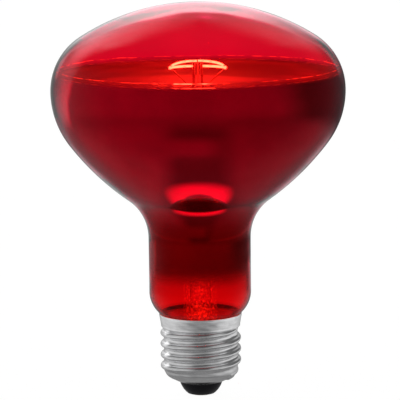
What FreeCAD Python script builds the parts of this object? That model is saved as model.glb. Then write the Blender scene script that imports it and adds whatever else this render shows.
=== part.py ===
import FreeCAD, Part
import os
from math import acos, atan2, ceil, cos, pi, radians, sin, sqrt, tan

# Infrared heat lamp: a ruby glass reflector bulb on a screw cap.
# It stands on its cap, with +Z towards the dome. The origin is on the axis, in the plane of the
# centre contact's lowest face. Lengths are in millimetres and angles in degrees.

# Bulb: one blown envelope, turned about Z
bulb_diameter = 95.0
face_radius = 71.0
shoulder_radius = 20.3
bowl_radius = 28.0
bowl_angle = 37.0
flare_angle = 54.0
flare_radius = 16.0
neck_diameter = 33.2
neck_length = 17.6
neck_shoulder_radius = 9.5
glass_wall = 0.8
seal_diameter = 22.0
seal_depth = 13.2
tuck_radius = 3.0

# Mirror: the bright film on the inside of the bowl and the upper neck
film_thickness = 0.15
mirror_rim_rise = 7.2
clear_band_height = 10.0

# Cap shell: thin sheet, rolled with a round right-hand thread
shell_height = 22.8
shell_wall = 0.3
shell_end_diameter = 14.0
shell_end_angle = 27.0
shell_end_fillet = 3.0
thread_diameter = 26.4
thread_root_diameter = 24.2
thread_pitch = 3.629
thread_crest_radius = 1.025
thread_base_height = 3.6
thread_lead_in = 0.1
thread_end_lap = 0.6
thread_run_out = 0.33
thread_blend = 0.05
thread_foot = 0.04
sections_per_turn = 14
skirt_diameter = 25.9
skirt_height = 4.9
skirt_step = 0.7
skirt_band = 0.6
rim_diameter = 27.0
rim_land = 0.6
rim_gap = 0.05

# Insulator, contact, solder and cement
insulator_height = 3.9
insulator_tip_diameter = 9.0
insulator_bulge = 0.35
insulator_seat_diameter = 19.2
insulator_bore = 2.6
contact_diameter = 7.6
contact_recess = 0.4
contact_lip = 0.25
contact_bore = 2.2
solder_height = 0.25
solder_diameter = 4.2
solder_crown_diameter = 3.48
solder_crown_height = 0.1
solder_flat_diameter = 1.8
side_solder_radius = 1.7
side_solder_sink = 0.5
side_solder_drop = 2.4
cement_height = 8.6
cement_top_gap = 1.3

# Stem: flared tube, flattened press, exhaust tube, and the rod that carries the supports
stem_diameter = 11.0
stem_wall = 0.9
stem_flare_radius = 7.0
stem_rim_height = 1.2
stem_tube_length = 34.0
press_transition = 6.0
press_width = 12.4
press_thickness = 4.4
press_height = 8.0
press_bevel = 0.8
exhaust_diameter = 4.0
exhaust_bore = 2.2
exhaust_tail = 1.5
exhaust_tip_height = 4.0
exhaust_tip_diameter = 1.2
rod_diameter = 3.0
button_diameter = 5.2
button_drop = 8.6

# Filament ring, folded up about X at both sides, and the wires that hold and feed it
filament_rise = 7.3
filament_ring_diameter = 17.6
filament_coil_diameter = 0.8
filament_fold = 11.0
filament_gap = 3.4
support_diameter = 0.4
support_clearance = 0.05
support_root = 1.2
lead_diameter = 0.8
lead_spacing = 6.4
lead_straight = 22.0
lead_bend = 4.0
lead_knee_drop = 4.0
lead_tip = 0.9
outer_lead_diameter = 0.4
outer_lead_bend = 0.6
outer_lead_drop = 1.4
outer_lead_slant = 4.0
outer_lead_end = 0.45
solder_hole_clearance = 0.05

Vector = FreeCAD.Vector
up = Vector(0, 0, 1)

# Radii
bulb_r = bulb_diameter / 2
neck_r = neck_diameter / 2
seal_r = seal_diameter / 2
thread_r = thread_diameter / 2
root_r = thread_root_diameter / 2
skirt_r = skirt_diameter / 2
rim_r = rim_diameter / 2
shell_end_r = shell_end_diameter / 2
stem_r = stem_diameter / 2
ring_r = filament_ring_diameter / 2
coil_r = filament_coil_diameter / 2
lead_r = lead_diameter / 2
outer_lead_r = outer_lead_diameter / 2
support_r = support_diameter / 2
lead_x = lead_spacing / 2

# Heights of the cap, counted up from the contact
insulator_base_z = solder_height + contact_lip
shell_end_z = insulator_base_z + insulator_height
rim_z = shell_end_z + shell_height
skirt_z = rim_z - skirt_height
skirt_low_z = skirt_z + skirt_step
skirt_high_z = skirt_low_z + skirt_band
thread_base_z = shell_end_z + thread_base_height
end_slope = radians(shell_end_angle)
fillet_r = root_r - shell_end_fillet
fillet_z = (shell_end_z + (fillet_r + shell_end_fillet * sin(end_slope) - shell_end_r) * tan(end_slope)
            + shell_end_fillet * cos(end_slope))
shell_end_inner_z = shell_end_z + shell_wall / cos(end_slope)

# The bulb's profile: circles that meet smoothly, from the cap's rim up to the dome
neck_shoulder_r = neck_r - neck_shoulder_radius
rim_inner_r = rim_r - shell_wall
rim_touch = acos((rim_inner_r - neck_shoulder_r) / neck_shoulder_radius)
neck_base_z = rim_z + rim_gap + neck_shoulder_radius * sin(rim_touch)
tuck_r = seal_r + tuck_radius
tuck_turn = acos((tuck_r - neck_shoulder_r) / (neck_shoulder_radius + tuck_radius))
tuck_z = neck_base_z - (neck_shoulder_radius + tuck_radius) * sin(tuck_turn)
seal_z = rim_z - seal_depth
flare_z = neck_base_z + neck_length
bowl_turn = radians(bowl_angle)
flare_turn = radians(flare_angle)
bowl_end_r = bulb_r - bowl_radius * (1 - cos(bowl_turn))
cone_radius = ((bowl_end_r - neck_r - flare_radius * (1 - cos(flare_turn)))
               / (cos(bowl_turn) - cos(flare_turn)))
bowl_end_z = flare_z + flare_radius * sin(flare_turn) + cone_radius * (sin(flare_turn) - sin(bowl_turn))
widest_z = bowl_end_z + bowl_radius * sin(bowl_turn)
shoulder_r = bulb_r - shoulder_radius
face_rise = sqrt((face_radius - shoulder_radius) ** 2 - shoulder_r ** 2)
face_z = widest_z - face_rise
face_turn = atan2(face_rise, shoulder_r)

# Heights inside the bulb
mirror_top_z = widest_z + mirror_rim_rise
mirror_base_z = rim_z + clear_band_height
filament_z = widest_z + filament_rise
stem_rim_r = seal_r - glass_wall
stem_bend_r = stem_r + stem_flare_radius
stem_tube_z = (seal_z + stem_rim_height
               + sqrt(stem_flare_radius ** 2 - (stem_bend_r - stem_rim_r) ** 2))
stem_top_z = stem_tube_z + stem_tube_length
press_z = stem_top_z + press_transition
press_top_z = press_z + press_height
lead_joint_z = press_z + press_height / 2
button_z = filament_z - button_drop
fold = radians(filament_fold)
lead_run_z = seal_z - outer_lead_drop
side_solder_z = rim_z - side_solder_drop


def point(r, z):
    """Point of a profile, in the XZ plane."""
    return Vector(r, 0, z)


def line(*points):
    """Straight edges through the given (r, z) points."""
    return [Part.LineSegment(point(*a), point(*b)).toShape() for a, b in zip(points, points[1:])]


def arc(centre_r, centre_z, radius, start, end):
    """Edge along a circle of a profile, between two angles in radians."""
    turns = (start, (start + end) / 2, end)
    ends = [point(centre_r + radius * cos(t), centre_z + radius * sin(t)) for t in turns]
    return [Part.Arc(*ends).toShape()]


def turned(edges):
    """Solid turned about Z from a closed profile."""
    return Part.Face(Part.Wire(edges)).revolve(Vector(0, 0, 0), up, 360)


def slab(low_z, high_z):
    """Disc wider than the lamp, between two heights."""
    return Part.makeCylinder(bulb_diameter, high_z - low_z, point(0, low_z))


def rod(points, radius, bend):
    """Round wire along straight runs that are joined by arcs of one bend radius."""
    edges = []
    start = points[0]
    for before, corner, after in zip(points, points[1:], points[2:]):
        back = (before - corner).normalize()
        on = (after - corner).normalize()
        half_angle = back.getAngle(on) / 2
        reach = bend / tan(half_angle)
        middle = (back + on).normalize() * (bend / sin(half_angle) - bend)
        edges.append(Part.LineSegment(start, corner + back * reach).toShape())
        edges.append(Part.Arc(corner + back * reach, corner + middle, corner + on * reach).toShape())
        start = corner + on * reach
    edges.append(Part.LineSegment(start, points[-1]).toShape())
    section = Part.Wire(Part.makeCircle(radius, points[0], points[1] - points[0]))
    return Part.Wire(edges).makePipeShell([section], True, True)


def glass_form(inset):
    """Solid inside the bulb's outer surface, moved inwards by inset."""
    apex_z = face_z + face_radius - inset
    end_r = seal_r - inset
    edges = arc(0, face_z, face_radius - inset, pi / 2, face_turn)
    edges += arc(shoulder_r, widest_z, shoulder_radius - inset, face_turn, 0)
    edges += arc(bulb_r - bowl_radius, widest_z, bowl_radius - inset, 0, -bowl_turn)
    edges += arc(bowl_end_r - cone_radius * cos(bowl_turn), bowl_end_z + cone_radius * sin(bowl_turn),
                 cone_radius - inset, -bowl_turn, -flare_turn)
    edges += arc(neck_r + flare_radius, flare_z, flare_radius + inset, pi - flare_turn, pi)
    edges += line((neck_r - inset, flare_z), (neck_r - inset, neck_base_z))
    edges += arc(neck_shoulder_r, neck_base_z, neck_shoulder_radius - inset, 0, -tuck_turn)
    edges += arc(tuck_r, tuck_z, tuck_radius + inset, pi - tuck_turn, pi)
    edges += line((end_r, tuck_z), (end_r, seal_z), (0, seal_z), (0, apex_z))
    return turned(edges)


def envelope():
    """Blown ruby bulb, open at the sealed end of its neck."""
    return glass_form(0).cut(glass_form(glass_wall))


def mirror_coating():
    """Bright film on the inside of the glass, from its rim in the dome down into the neck."""
    film = glass_form(glass_wall).cut(glass_form(glass_wall + film_thickness))
    return film.common(slab(mirror_base_z, mirror_top_z))


def shell_form(inset):
    """Solid inside the cap shell's plain outer surface, moved inwards by inset."""
    end_z = shell_end_z + inset / cos(end_slope)
    fillet = shell_end_fillet - inset
    cone_end = (fillet_r + fillet * sin(end_slope), fillet_z - fillet * cos(end_slope))
    edges = line((0, shell_end_z), (shell_end_r, shell_end_z))
    if inset:
        edges += line((shell_end_r, shell_end_z), (shell_end_r, end_z))
    edges += line((shell_end_r, end_z), cone_end)
    edges += arc(fillet_r, fillet_z, fillet, end_slope - pi / 2, 0)
    edges += line((root_r - inset, fillet_z), (root_r - inset, skirt_z),
                  (skirt_r - inset, skirt_low_z), (skirt_r - inset, skirt_high_z),
                  (rim_r - inset, rim_z - rim_land), (rim_r - inset, rim_z), (0, rim_z), (0, shell_end_z))
    return turned(edges)


def ridge_section(turn, sink):
    """Closed outline of the thread's ridge in the half plane at a turn, sunk towards the axis."""
    floor_r = root_r - thread_blend
    depth = thread_r - floor_r
    half_pitch = thread_pitch / 2
    centres = (half_pitch ** 2 + depth ** 2) / (2 * depth)
    hollow = centres - thread_crest_radius
    flank = atan2(half_pitch, centres - depth)
    foot = acos(1 - thread_foot / hollow)
    crest_r = thread_r - thread_crest_radius
    hollow_r = floor_r + hollow

    def crest(angle):
        return crest_r + thread_crest_radius * cos(angle), thread_crest_radius * sin(angle)

    def root(angle, side):
        return hollow_r - hollow * cos(angle), side * (half_pitch - hollow * sin(angle))

    back_r = floor_r - depth
    foot_angle = (flank + foot) / 2
    low = [root(foot, -1), root(foot_angle, -1), crest(-flank)]
    top = [crest(-flank), crest(0), crest(flank)]
    high = [crest(flank), root(foot_angle, 1), root(foot, 1)]
    back = [high[-1], (back_r, high[-1][1]), (back_r, low[0][1]), low[0]]

    def place(r, z):
        angle = 2 * pi * turn
        reach = r - sink
        return Vector(reach * cos(angle), reach * sin(angle), thread_base_z + thread_pitch * turn + z)

    edges = [Part.Arc(*[place(*p) for p in span]).toShape() for span in (low, top, high)]
    edges += [Part.LineSegment(place(*a), place(*b)).toShape() for a, b in zip(back, back[1:])]
    return Part.Wire(edges)


def thread_ridge():
    """Helical ridge that rises out of the shell at its foot and fades into the skirt."""
    first = -thread_lead_in
    last = (skirt_z + thread_end_lap - thread_base_z) / thread_pitch
    count = ceil((last - first) * sections_per_turn)
    full_sink = thread_r - root_r + 2 * thread_blend
    sections = []
    for i in range(count + 1):
        turn = first + (last - first) * i / count
        share = min(1, (turn - first) / thread_run_out, (last - turn) / thread_run_out)
        sections.append(ridge_section(turn, full_sink * (1 + cos(pi * share)) / 2))
    return Part.makeLoft(sections, True, False)


def cap_shell():
    """Rolled cap shell: end cone, thread, skirt and lip, with a hole for the side lead."""
    hole = Part.makeCylinder(outer_lead_r + solder_hole_clearance, rim_r, point(0, side_solder_z), side_way)
    return shell_form(0).fuse(thread_ridge()).cut(shell_form(shell_wall)).cut(hole)


def cap_insulator():
    """Black insulator cast into the shell's end, with a seat for the contact and a bore for its lead."""
    seat_r = insulator_seat_diameter / 2
    seat_z = shell_end_inner_z + (seat_r - shell_end_r) * tan(end_slope)
    tip_r = insulator_tip_diameter / 2
    bore_r = insulator_bore / 2
    contact_r = contact_diameter / 2
    recess_z = insulator_base_z + contact_recess
    side = Vector(shell_end_r - tip_r, 0, insulator_height)
    bulge = point((tip_r + shell_end_r) / 2, insulator_base_z + insulator_height / 2)
    bulge += Vector(side.z, 0, -side.x).normalize() * insulator_bulge
    edges = line((bore_r, recess_z), (contact_r, recess_z), (contact_r, insulator_base_z),
                 (tip_r, insulator_base_z))
    edges.append(Part.Arc(point(tip_r, insulator_base_z), bulge, point(shell_end_r, shell_end_z)).toShape())
    edges += line((shell_end_r, shell_end_z), (shell_end_r, shell_end_inner_z), (seat_r, seat_z),
                  (bore_r, seat_z), (bore_r, recess_z))
    return turned(edges)


def contact_plate():
    """Brass plate, let into the insulator's foot, with a rounded lower edge."""
    outer_r = contact_diameter / 2
    bore_r = contact_bore / 2
    top_z = insulator_base_z + contact_recess
    edges = line((bore_r, solder_height), (outer_r - contact_lip, solder_height))
    edges += arc(outer_r - contact_lip, insulator_base_z, contact_lip, -pi / 2, 0)
    edges += line((outer_r, insulator_base_z), (outer_r, top_z), (bore_r, top_z), (bore_r, solder_height))
    return turned(edges)


def contact_solder():
    """Solder that fills the plate's hole and stands a little proud, with a flat spot below."""
    bore_r = contact_bore / 2
    top_z = insulator_base_z + contact_recess
    flat_r = solder_flat_diameter / 2
    edge_r = solder_diameter / 2
    crown = point(solder_crown_diameter / 2, solder_crown_height)
    edges = line((0, 0), (flat_r, 0))
    edges.append(Part.Arc(point(flat_r, 0), crown, point(edge_r, solder_height)).toShape())
    edges += line((edge_r, solder_height), (bore_r, solder_height), (bore_r, top_z), (0, top_z), (0, 0))
    return turned(edges)


def side_solder():
    """Drop of solder on the back of the skirt, over the end of the side lead."""
    drop = Part.makeSphere(side_solder_radius, side_way * (skirt_r - side_solder_sink) + up * side_solder_z)
    return drop.cut(shell_form(0))


def basing_cement():
    """Ring of cement between the neck and the cap."""
    top_z = rim_z - cement_top_gap
    return shell_form(shell_wall).common(slab(top_z - cement_height, top_z)).cut(glass_form(0))


def stem():
    """Glass stem: rim fused in the neck, flared foot, tube, and the press that grips the leads."""
    rim_bore = stem_rim_r - stem_wall
    flare_end = acos((stem_bend_r - stem_rim_r) / stem_flare_radius)
    bore_radius = stem_flare_radius + stem_wall
    bore_end = acos((stem_bend_r - rim_bore) / bore_radius)
    bore_end_z = stem_tube_z - bore_radius * sin(bore_end)
    edges = line((rim_bore, seal_z), (stem_rim_r, seal_z), (stem_rim_r, seal_z + stem_rim_height))
    edges += arc(stem_bend_r, stem_tube_z, stem_flare_radius, pi + flare_end, pi)
    edges += line((stem_r, stem_tube_z), (stem_r, stem_top_z), (stem_r - stem_wall, stem_top_z),
                  (stem_r - stem_wall, stem_tube_z))
    edges += arc(stem_bend_r, stem_tube_z, bore_radius, pi, pi + bore_end)
    edges += line((rim_bore, bore_end_z), (rim_bore, seal_z))
    outlines = [Part.Wire(Part.makeCircle(stem_r, point(0, stem_top_z)))]
    for z, inset in ((press_z, 0), (press_top_z - press_bevel, 0), (press_top_z, press_bevel)):
        oval = Part.Ellipse(point(0, z), press_width / 2 - inset, press_thickness / 2 - inset)
        outlines.append(Part.Wire(oval.toShape()))
    return turned(edges).fuse(Part.makeLoft(outlines, True, True))


def exhaust_tube():
    """Glass tube from the press down into the cap, drawn to a closed tip."""
    outer_r = exhaust_diameter / 2
    bore_r = exhaust_bore / 2
    tip_r = exhaust_tip_diameter / 2
    tip_z = seal_z - exhaust_tail
    edges = line((0, tip_z), (tip_r, tip_z), (outer_r, tip_z + exhaust_tip_height), (outer_r, stem_top_z),
                 (bore_r, stem_top_z), (bore_r, tip_z + exhaust_tip_height), (0, tip_z + exhaust_tip_height),
                 (0, tip_z))
    return turned(edges)


def support_rod():
    """Glass rod on the press, ending in the button that holds the support wires."""
    rod_r = rod_diameter / 2
    button_r = button_diameter / 2
    turn = acos(rod_r / button_r)
    edges = line((0, press_top_z), (rod_r, press_top_z), (rod_r, button_z - button_r * sin(turn)))
    edges += arc(0, button_z, button_r, -turn, pi / 2)
    edges += line((0, button_z + button_r), (0, press_top_z))
    return turned(edges)


def filament():
    """Coiled wire as its outer tube: a ring folded up about X at both sides, open at the front."""
    centre = point(0, filament_z)
    half = Part.makeBox(bulb_diameter, bulb_diameter, bulb_diameter,
                        Vector(-bulb_r, 0, filament_z - bulb_r))
    ring = Part.makeTorus(ring_r, coil_r, centre)
    ring.rotate(centre, Vector(1, 0, 0), filament_fold)
    back = ring.common(half)
    front = back.mirror(centre, Vector(0, 1, 0))
    gap = Part.makeBox(filament_gap, bulb_r, bulb_diameter,
                       Vector(-filament_gap / 2, -bulb_r, filament_z - bulb_r))
    return back.fuse(front).cut(gap).removeSplitter()


def filament_support(angle):
    """Wire from the button to the filament, bent into an eye round the coil."""
    turn = radians(angle)
    lift = ring_r * abs(sin(turn)) * sin(fold)
    target = Vector(ring_r * cos(turn), ring_r * sin(turn) * cos(fold), filament_z + lift)
    way = (target - point(0, button_z)).normalize()
    eye_r = coil_r + support_clearance + support_r
    root = point(0, button_z) + way * (button_diameter / 2 - support_root)
    shank = rod([root, target - way * eye_r], support_r, 0)
    eye = Part.makeTorus(eye_r, support_r, target, Vector(-sin(turn), cos(turn), 0))
    return shank.fuse(eye)


def inner_lead(side):
    """Lead from the press up to one end of the filament, on the side of -X or +X."""
    reach = sqrt(ring_r ** 2 - (filament_gap / 2) ** 2)
    tip_x = filament_gap / 2 - lead_r
    tip_y = -reach * cos(fold)
    corners = [(lead_x, 0, lead_joint_z), (lead_x, 0, press_top_z + lead_straight),
               (tip_x, tip_y, filament_z - lead_knee_drop),
               (tip_x, tip_y, filament_z + reach * sin(fold) + lead_tip)]
    return rod([Vector(side * x, y, z) for x, y, z in corners], lead_r, lead_bend)


def centre_lead():
    """Lead from the press, through the insulator, into the contact's solder."""
    corners = [(lead_x, 0, lead_joint_z), (lead_x, 0, lead_run_z), (0, 0, lead_run_z - outer_lead_slant),
               (0, 0, outer_lead_end)]
    return rod([Vector(*c) for c in corners], outer_lead_r, outer_lead_bend)


def side_lead():
    """Lead from the press, round the end of the neck and up to the solder on the skirt."""
    way_out = side_way * (skirt_r + side_solder_sink)
    corners = [(-lead_x, 0, lead_joint_z), (-lead_x, 0, lead_run_z), (-lead_x, side_run_y, lead_run_z),
               (-lead_x, side_run_y, side_solder_z), (way_out.x, way_out.y, side_solder_z)]
    return rod([Vector(*c) for c in corners], outer_lead_r, outer_lead_bend)


# The side lead climbs midway between the neck and the shell, at the back
side_run_r = (seal_r + root_r - shell_wall) / 2
side_run_y = sqrt(side_run_r ** 2 - lead_x ** 2)
side_way = Vector(-lead_x, side_run_y, 0).normalize()

leads = {
    "inner_lead_left": inner_lead(-1),
    "inner_lead_right": inner_lead(1),
    "centre_lead": centre_lead(),
    "side_lead": side_lead(),
}
supports = {
    "filament_support_right": filament_support(0),
    "filament_support_back": filament_support(90),
    "filament_support_left": filament_support(180),
}
pieces = {
    "envelope": envelope(),
    "mirror_coating": mirror_coating(),
    "cap_shell": cap_shell(),
    "cap_insulator": cap_insulator(),
    "contact_plate": contact_plate(),
    "contact_solder": contact_solder().cut(leads["centre_lead"]),
    "side_solder": side_solder().cut(leads["side_lead"]),
    "basing_cement": basing_cement().cut(leads["side_lead"]),
    "stem": stem().cut(list(leads.values())),
    "exhaust_tube": exhaust_tube(),
    "support_rod": support_rod().cut(list(supports.values())),
    "filament": filament(),
}
pieces.update(leads)
pieces.update(supports)

os.makedirs("parts", exist_ok=True)
for name, shape in pieces.items():
    shape.exportStep("parts/" + name + ".step")
    print(name, len(shape.Solids), shape.isValid(), round(shape.Volume, 2))
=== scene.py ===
"""Looks of an infrared heat lamp: ruby reflector bulb, rolled screw cap, glass stem and glowing filament.

Every surface is worked out with numpy in the lamp's own frame: +Z runs from the contact to the dome,
and the origin is on the axis, in the plane of the contact's lowest face.
"""

from math import acos, atan2, cos, pi, radians, sin, sqrt, tan

import bpy
import numpy as np
from bpy.props import FloatProperty, FloatVectorProperty, IntProperty, PointerProperty
from mathutils import Matrix, Vector


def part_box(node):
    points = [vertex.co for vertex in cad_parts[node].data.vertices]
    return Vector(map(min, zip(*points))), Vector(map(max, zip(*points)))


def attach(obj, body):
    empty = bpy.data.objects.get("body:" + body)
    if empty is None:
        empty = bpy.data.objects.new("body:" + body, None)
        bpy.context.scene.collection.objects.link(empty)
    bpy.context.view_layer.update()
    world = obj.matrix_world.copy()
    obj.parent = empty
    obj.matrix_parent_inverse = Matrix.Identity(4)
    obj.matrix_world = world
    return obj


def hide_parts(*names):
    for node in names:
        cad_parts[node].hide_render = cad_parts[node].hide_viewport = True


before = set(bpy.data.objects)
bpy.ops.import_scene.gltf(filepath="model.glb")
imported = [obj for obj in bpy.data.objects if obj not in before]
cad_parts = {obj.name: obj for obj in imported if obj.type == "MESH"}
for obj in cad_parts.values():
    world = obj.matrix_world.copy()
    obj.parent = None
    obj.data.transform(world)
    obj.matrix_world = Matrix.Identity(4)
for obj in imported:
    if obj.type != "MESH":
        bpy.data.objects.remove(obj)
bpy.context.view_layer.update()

bl_info = {
    "name": "Heat Lamp",
    "version": (1, 0, 0),
    "blender": (4, 5, 0),
    "location": "View3D > Sidebar > Heat Lamp",
    "description": "Builds the looks of a ruby reflector heat lamp round its frame",
    "category": "Object",
}

MM = 0.001
BODY = "root"
RIM_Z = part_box("cap_shell")[1].z
SHELL_END_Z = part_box("cap_shell")[0].z
INSULATOR_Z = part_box("cap_insulator")[0].z
SEAL_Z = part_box("envelope")[0].z


def size(label, millimetres, note):
    """Length property, with its default given in millimetres."""
    return FloatProperty(name=label, description=note, default=millimetres * MM, min=0.0,
                         precision=5, subtype="DISTANCE", unit="LENGTH")


def angle(label, degrees, note):
    """Angle property, with its default given in degrees."""
    return FloatProperty(name=label, description=note, default=radians(degrees), subtype="ANGLE",
                         unit="ROTATION")


def number(label, value, note):
    """Count of points property."""
    return IntProperty(name=label, description=note, default=value, min=24)


def share(label, value, note):
    """Plain number property, from 0 to 1."""
    return FloatProperty(name=label, description=note, default=value, min=0.0, max=1.0, subtype="FACTOR")


def brightness(label, value, note):
    """Level of light property, in which 1 is white."""
    return FloatProperty(name=label, description=note, default=value, min=0.0)


def colour(label, value, note):
    """Colour property, as linear red, green and blue."""
    return FloatVectorProperty(name=label, description=note, default=value, size=3, min=0.0, subtype="COLOR")


class BulbSizes(bpy.types.PropertyGroup):
    """Sizes of the blown bulb and its mirror film."""

    diameter: size("Bulb diameter", 95.0, "Widest diameter of the bulb")
    face_radius: size("Face radius", 71.0, "Radius of the dome's face")
    shoulder_radius: size("Shoulder radius", 20.3, "Radius from the face round to the widest line")
    bowl_radius: size("Bowl radius", 28.0, "Radius below the widest line")
    bowl_angle: angle("Bowl angle", 37.0, "Turn of the bowl's arc")
    flare_angle: angle("Flare angle", 54.0, "Turn of the arc from the cone into the neck")
    flare_radius: size("Flare radius", 16.0, "Radius from the cone into the neck")
    neck_diameter: size("Neck diameter", 33.2, "Diameter of the straight neck")
    neck_length: size("Neck length", 17.6, "Length of the straight neck")
    neck_shoulder_radius: size("Neck shoulder radius", 9.5, "Radius where the neck turns in to the cap")
    wall: size("Glass wall", 0.8, "Thickness of the glass")
    seal_diameter: size("Seal diameter", 22.0, "Diameter of the sealed end inside the cap")
    tuck_radius: size("Tuck radius", 3.0, "Radius where the neck runs down into the cap")
    lip_gap: size("Lip gap", 0.05, "Gap between the neck and the cap's lip")
    waver: size("Glass waver", 0.05, "Unevenness of the blown glass")
    film: size("Film thickness", 0.15, "Thickness of the mirror film")
    film_gap: size("Film gap", 0.01, "Gap that keeps the film's skin clear of the glass")
    film_rise: size("Film rise", 7.2, "Height of the film's upper rim over the widest line")
    clear_band: size("Clear band", 10.0, "Height of bare glass between the cap and the film")
    film_ripple: size("Film ripple", 0.35, "Unevenness of the film's rims")
    around: number("Steps round", 192, "Points in each ring of glass")
    along: number("Steps along", 200, "Rings down each side of the glass")


class CapSizes(bpy.types.PropertyGroup):
    """Sizes of the rolled cap shell, its insulator, contact and solder."""

    wall: size("Sheet", 0.3, "Thickness of the cap's sheet")
    end_diameter: size("End diameter", 14.0, "Diameter of the shell's lower end")
    end_angle: angle("End angle", 27.0, "Slope of the shell's lower end")
    end_fillet: size("End fillet", 3.0, "Radius from the lower end into the thread")
    thread_diameter: size("Thread diameter", 26.4, "Diameter over the thread's crests")
    root_diameter: size("Root diameter", 24.2, "Diameter in the thread's roots")
    pitch: size("Pitch", 3.629, "Rise of the thread in one turn")
    crest_radius: size("Crest radius", 1.025, "Radius of the thread's crests")
    thread_height: size("Thread height", 3.6, "Height of the first crest over the shell's lower end")
    lead_in: share("Lead-in", 0.1, "Turns of thread below the first crest")
    run_out: share("Run-out", 0.33, "Turns over which the thread rises and fades")
    end_lap: size("End lap", 0.6, "How far the last turn runs into the skirt")
    blend: size("Thread blend", 0.05, "Softness of the line where the thread meets the shell")
    skirt_diameter: size("Skirt diameter", 25.9, "Diameter of the plain skirt")
    skirt_height: size("Skirt height", 4.9, "Height of the skirt, its flare and its lip")
    skirt_step: size("Skirt step", 0.7, "Height of the step from the thread to the skirt")
    lip_diameter: size("Lip diameter", 27.0, "Diameter of the lip under the glass")
    skirt_band: size("Skirt band", 0.6, "Height of the skirt's upright part under its flare")
    lip_land: size("Lip land", 0.6, "Height of the lip's upright edge")
    edge: size("Rolled edge", 0.35, "Radius of the bends in the skirt and lip")
    dents: size("Dents", 0.03, "Unevenness of the rolled sheet")
    dent_rise: size("Dent rise", 2.0, "Height over which the dents set in over the lower end")
    insulator_tip: size("Insulator tip", 9.0, "Diameter of the insulator's foot")
    insulator_bulge: size("Insulator bulge", 0.35, "How far the insulator's side stands out")
    insulator_seat: size("Insulator seat", 19.2, "Diameter of the insulator inside the shell")
    insulator_bore: size("Insulator bore", 2.6, "Diameter of the hole for the lead")
    insulator_edge: size("Insulator edge", 0.4, "Radius of the insulator's foot")
    contact_diameter: size("Contact diameter", 7.6, "Diameter of the contact plate")
    contact_recess: size("Contact recess", 0.4, "Depth of the plate's seat")
    contact_lip: size("Contact lip", 0.25, "Radius of the plate's lower edge")
    contact_bore: size("Contact bore", 2.2, "Diameter of the plate's hole")
    solder_diameter: size("Solder diameter", 4.2, "Diameter of the contact's solder")
    solder_height: size("Solder height", 0.25, "How far the contact's solder stands out")
    solder_step: size("Solder step", 0.02, "Rise from the contact's solder to its shank")
    drop_radius: size("Drop radius", 1.7, "Radius of the side drop of solder")
    drop_sink: size("Drop sink", 0.5, "Depth of the side drop's centre in the skirt")
    drop_below_lip: size("Drop below lip", 2.4, "Distance from the lip down to the side drop")
    around: number("Steps round", 288, "Points in each ring of sheet")
    along: number("Steps along", 150, "Rings up each side of the sheet")


class StemSizes(bpy.types.PropertyGroup):
    """Sizes of the glass stem, its press, tube, rod and wires."""

    diameter: size("Stem diameter", 11.0, "Diameter of the stem's tube")
    wall: size("Stem wall", 0.9, "Wall of the stem's tube")
    flare_radius: size("Stem flare radius", 7.0, "Radius of the stem's flared foot")
    rim_height: size("Stem rim height", 1.2, "Height of the rim fused in the neck")
    tube_length: size("Stem tube length", 34.0, "Length of the stem's straight tube")
    press_transition: size("Press transition", 6.0, "Height over which the tube is flattened")
    press_width: size("Press width", 12.4, "Width of the press")
    press_thickness: size("Press thickness", 4.4, "Thickness of the press")
    press_height: size("Press height", 8.0, "Height of the press")
    press_bevel: size("Press bevel", 0.8, "Bevel of the press's top")
    exhaust_diameter: size("Exhaust diameter", 4.0, "Diameter of the exhaust tube")
    exhaust_bore: size("Exhaust bore", 2.2, "Bore of the exhaust tube")
    exhaust_tail: size("Exhaust tail", 1.5, "How far the exhaust tube's tip hangs below the seal")
    exhaust_tip_height: size("Exhaust tip height", 4.0, "Height of the drawn tip")
    exhaust_tip: size("Exhaust tip", 1.2, "Diameter of the drawn tip")
    rod_diameter: size("Rod diameter", 3.0, "Diameter of the support rod")
    button_diameter: size("Button diameter", 5.2, "Diameter of the button on the rod")
    button_drop: size("Button drop", 8.6, "Distance from the filament's ring down to the button")
    lead_diameter: size("Lead diameter", 0.8, "Diameter of the leads over the press")
    lead_spacing: size("Lead spacing", 6.4, "Distance between the leads in the press")
    lead_straight: size("Straight lead", 22.0, "Straight length of the leads over the press")
    lead_bend: size("Lead bend", 4.0, "Bend radius of the leads")
    lead_knee_drop: size("Knee drop", 4.0, "Distance from the filament's ring down to the leads' upper bend")
    lead_tip: size("Lead tip", 0.9, "How far the leads stand over the filament's ends")
    support_diameter: size("Support diameter", 0.4, "Diameter of the support wires")
    support_root: size("Support root", 1.2, "Depth of the support wires in the button")
    support_clearance: size("Support clearance", 0.05, "Gap between an eye and the coil")


class FilamentSizes(bpy.types.PropertyGroup):
    """Sizes of the coiled filament."""

    rise: size("Filament rise", 7.3, "Height of the ring over the bulb's widest line")
    ring_diameter: size("Ring diameter", 17.6, "Diameter of the filament's ring")
    fold: angle("Fold", 11.0, "How far each half of the ring is folded up")
    gap: size("Gap", 3.4, "Opening of the ring at the front")
    coil_diameter: size("Coil diameter", 0.8, "Outer diameter of the coil")
    wire_diameter: size("Wire diameter", 0.14, "Diameter of the coiled wire")
    coil_pitch: size("Coil pitch", 0.22, "Distance from one turn of the coil to the next")
    ease: size("Fold ease", 1.2, "Softness of the fold at both sides")


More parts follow.
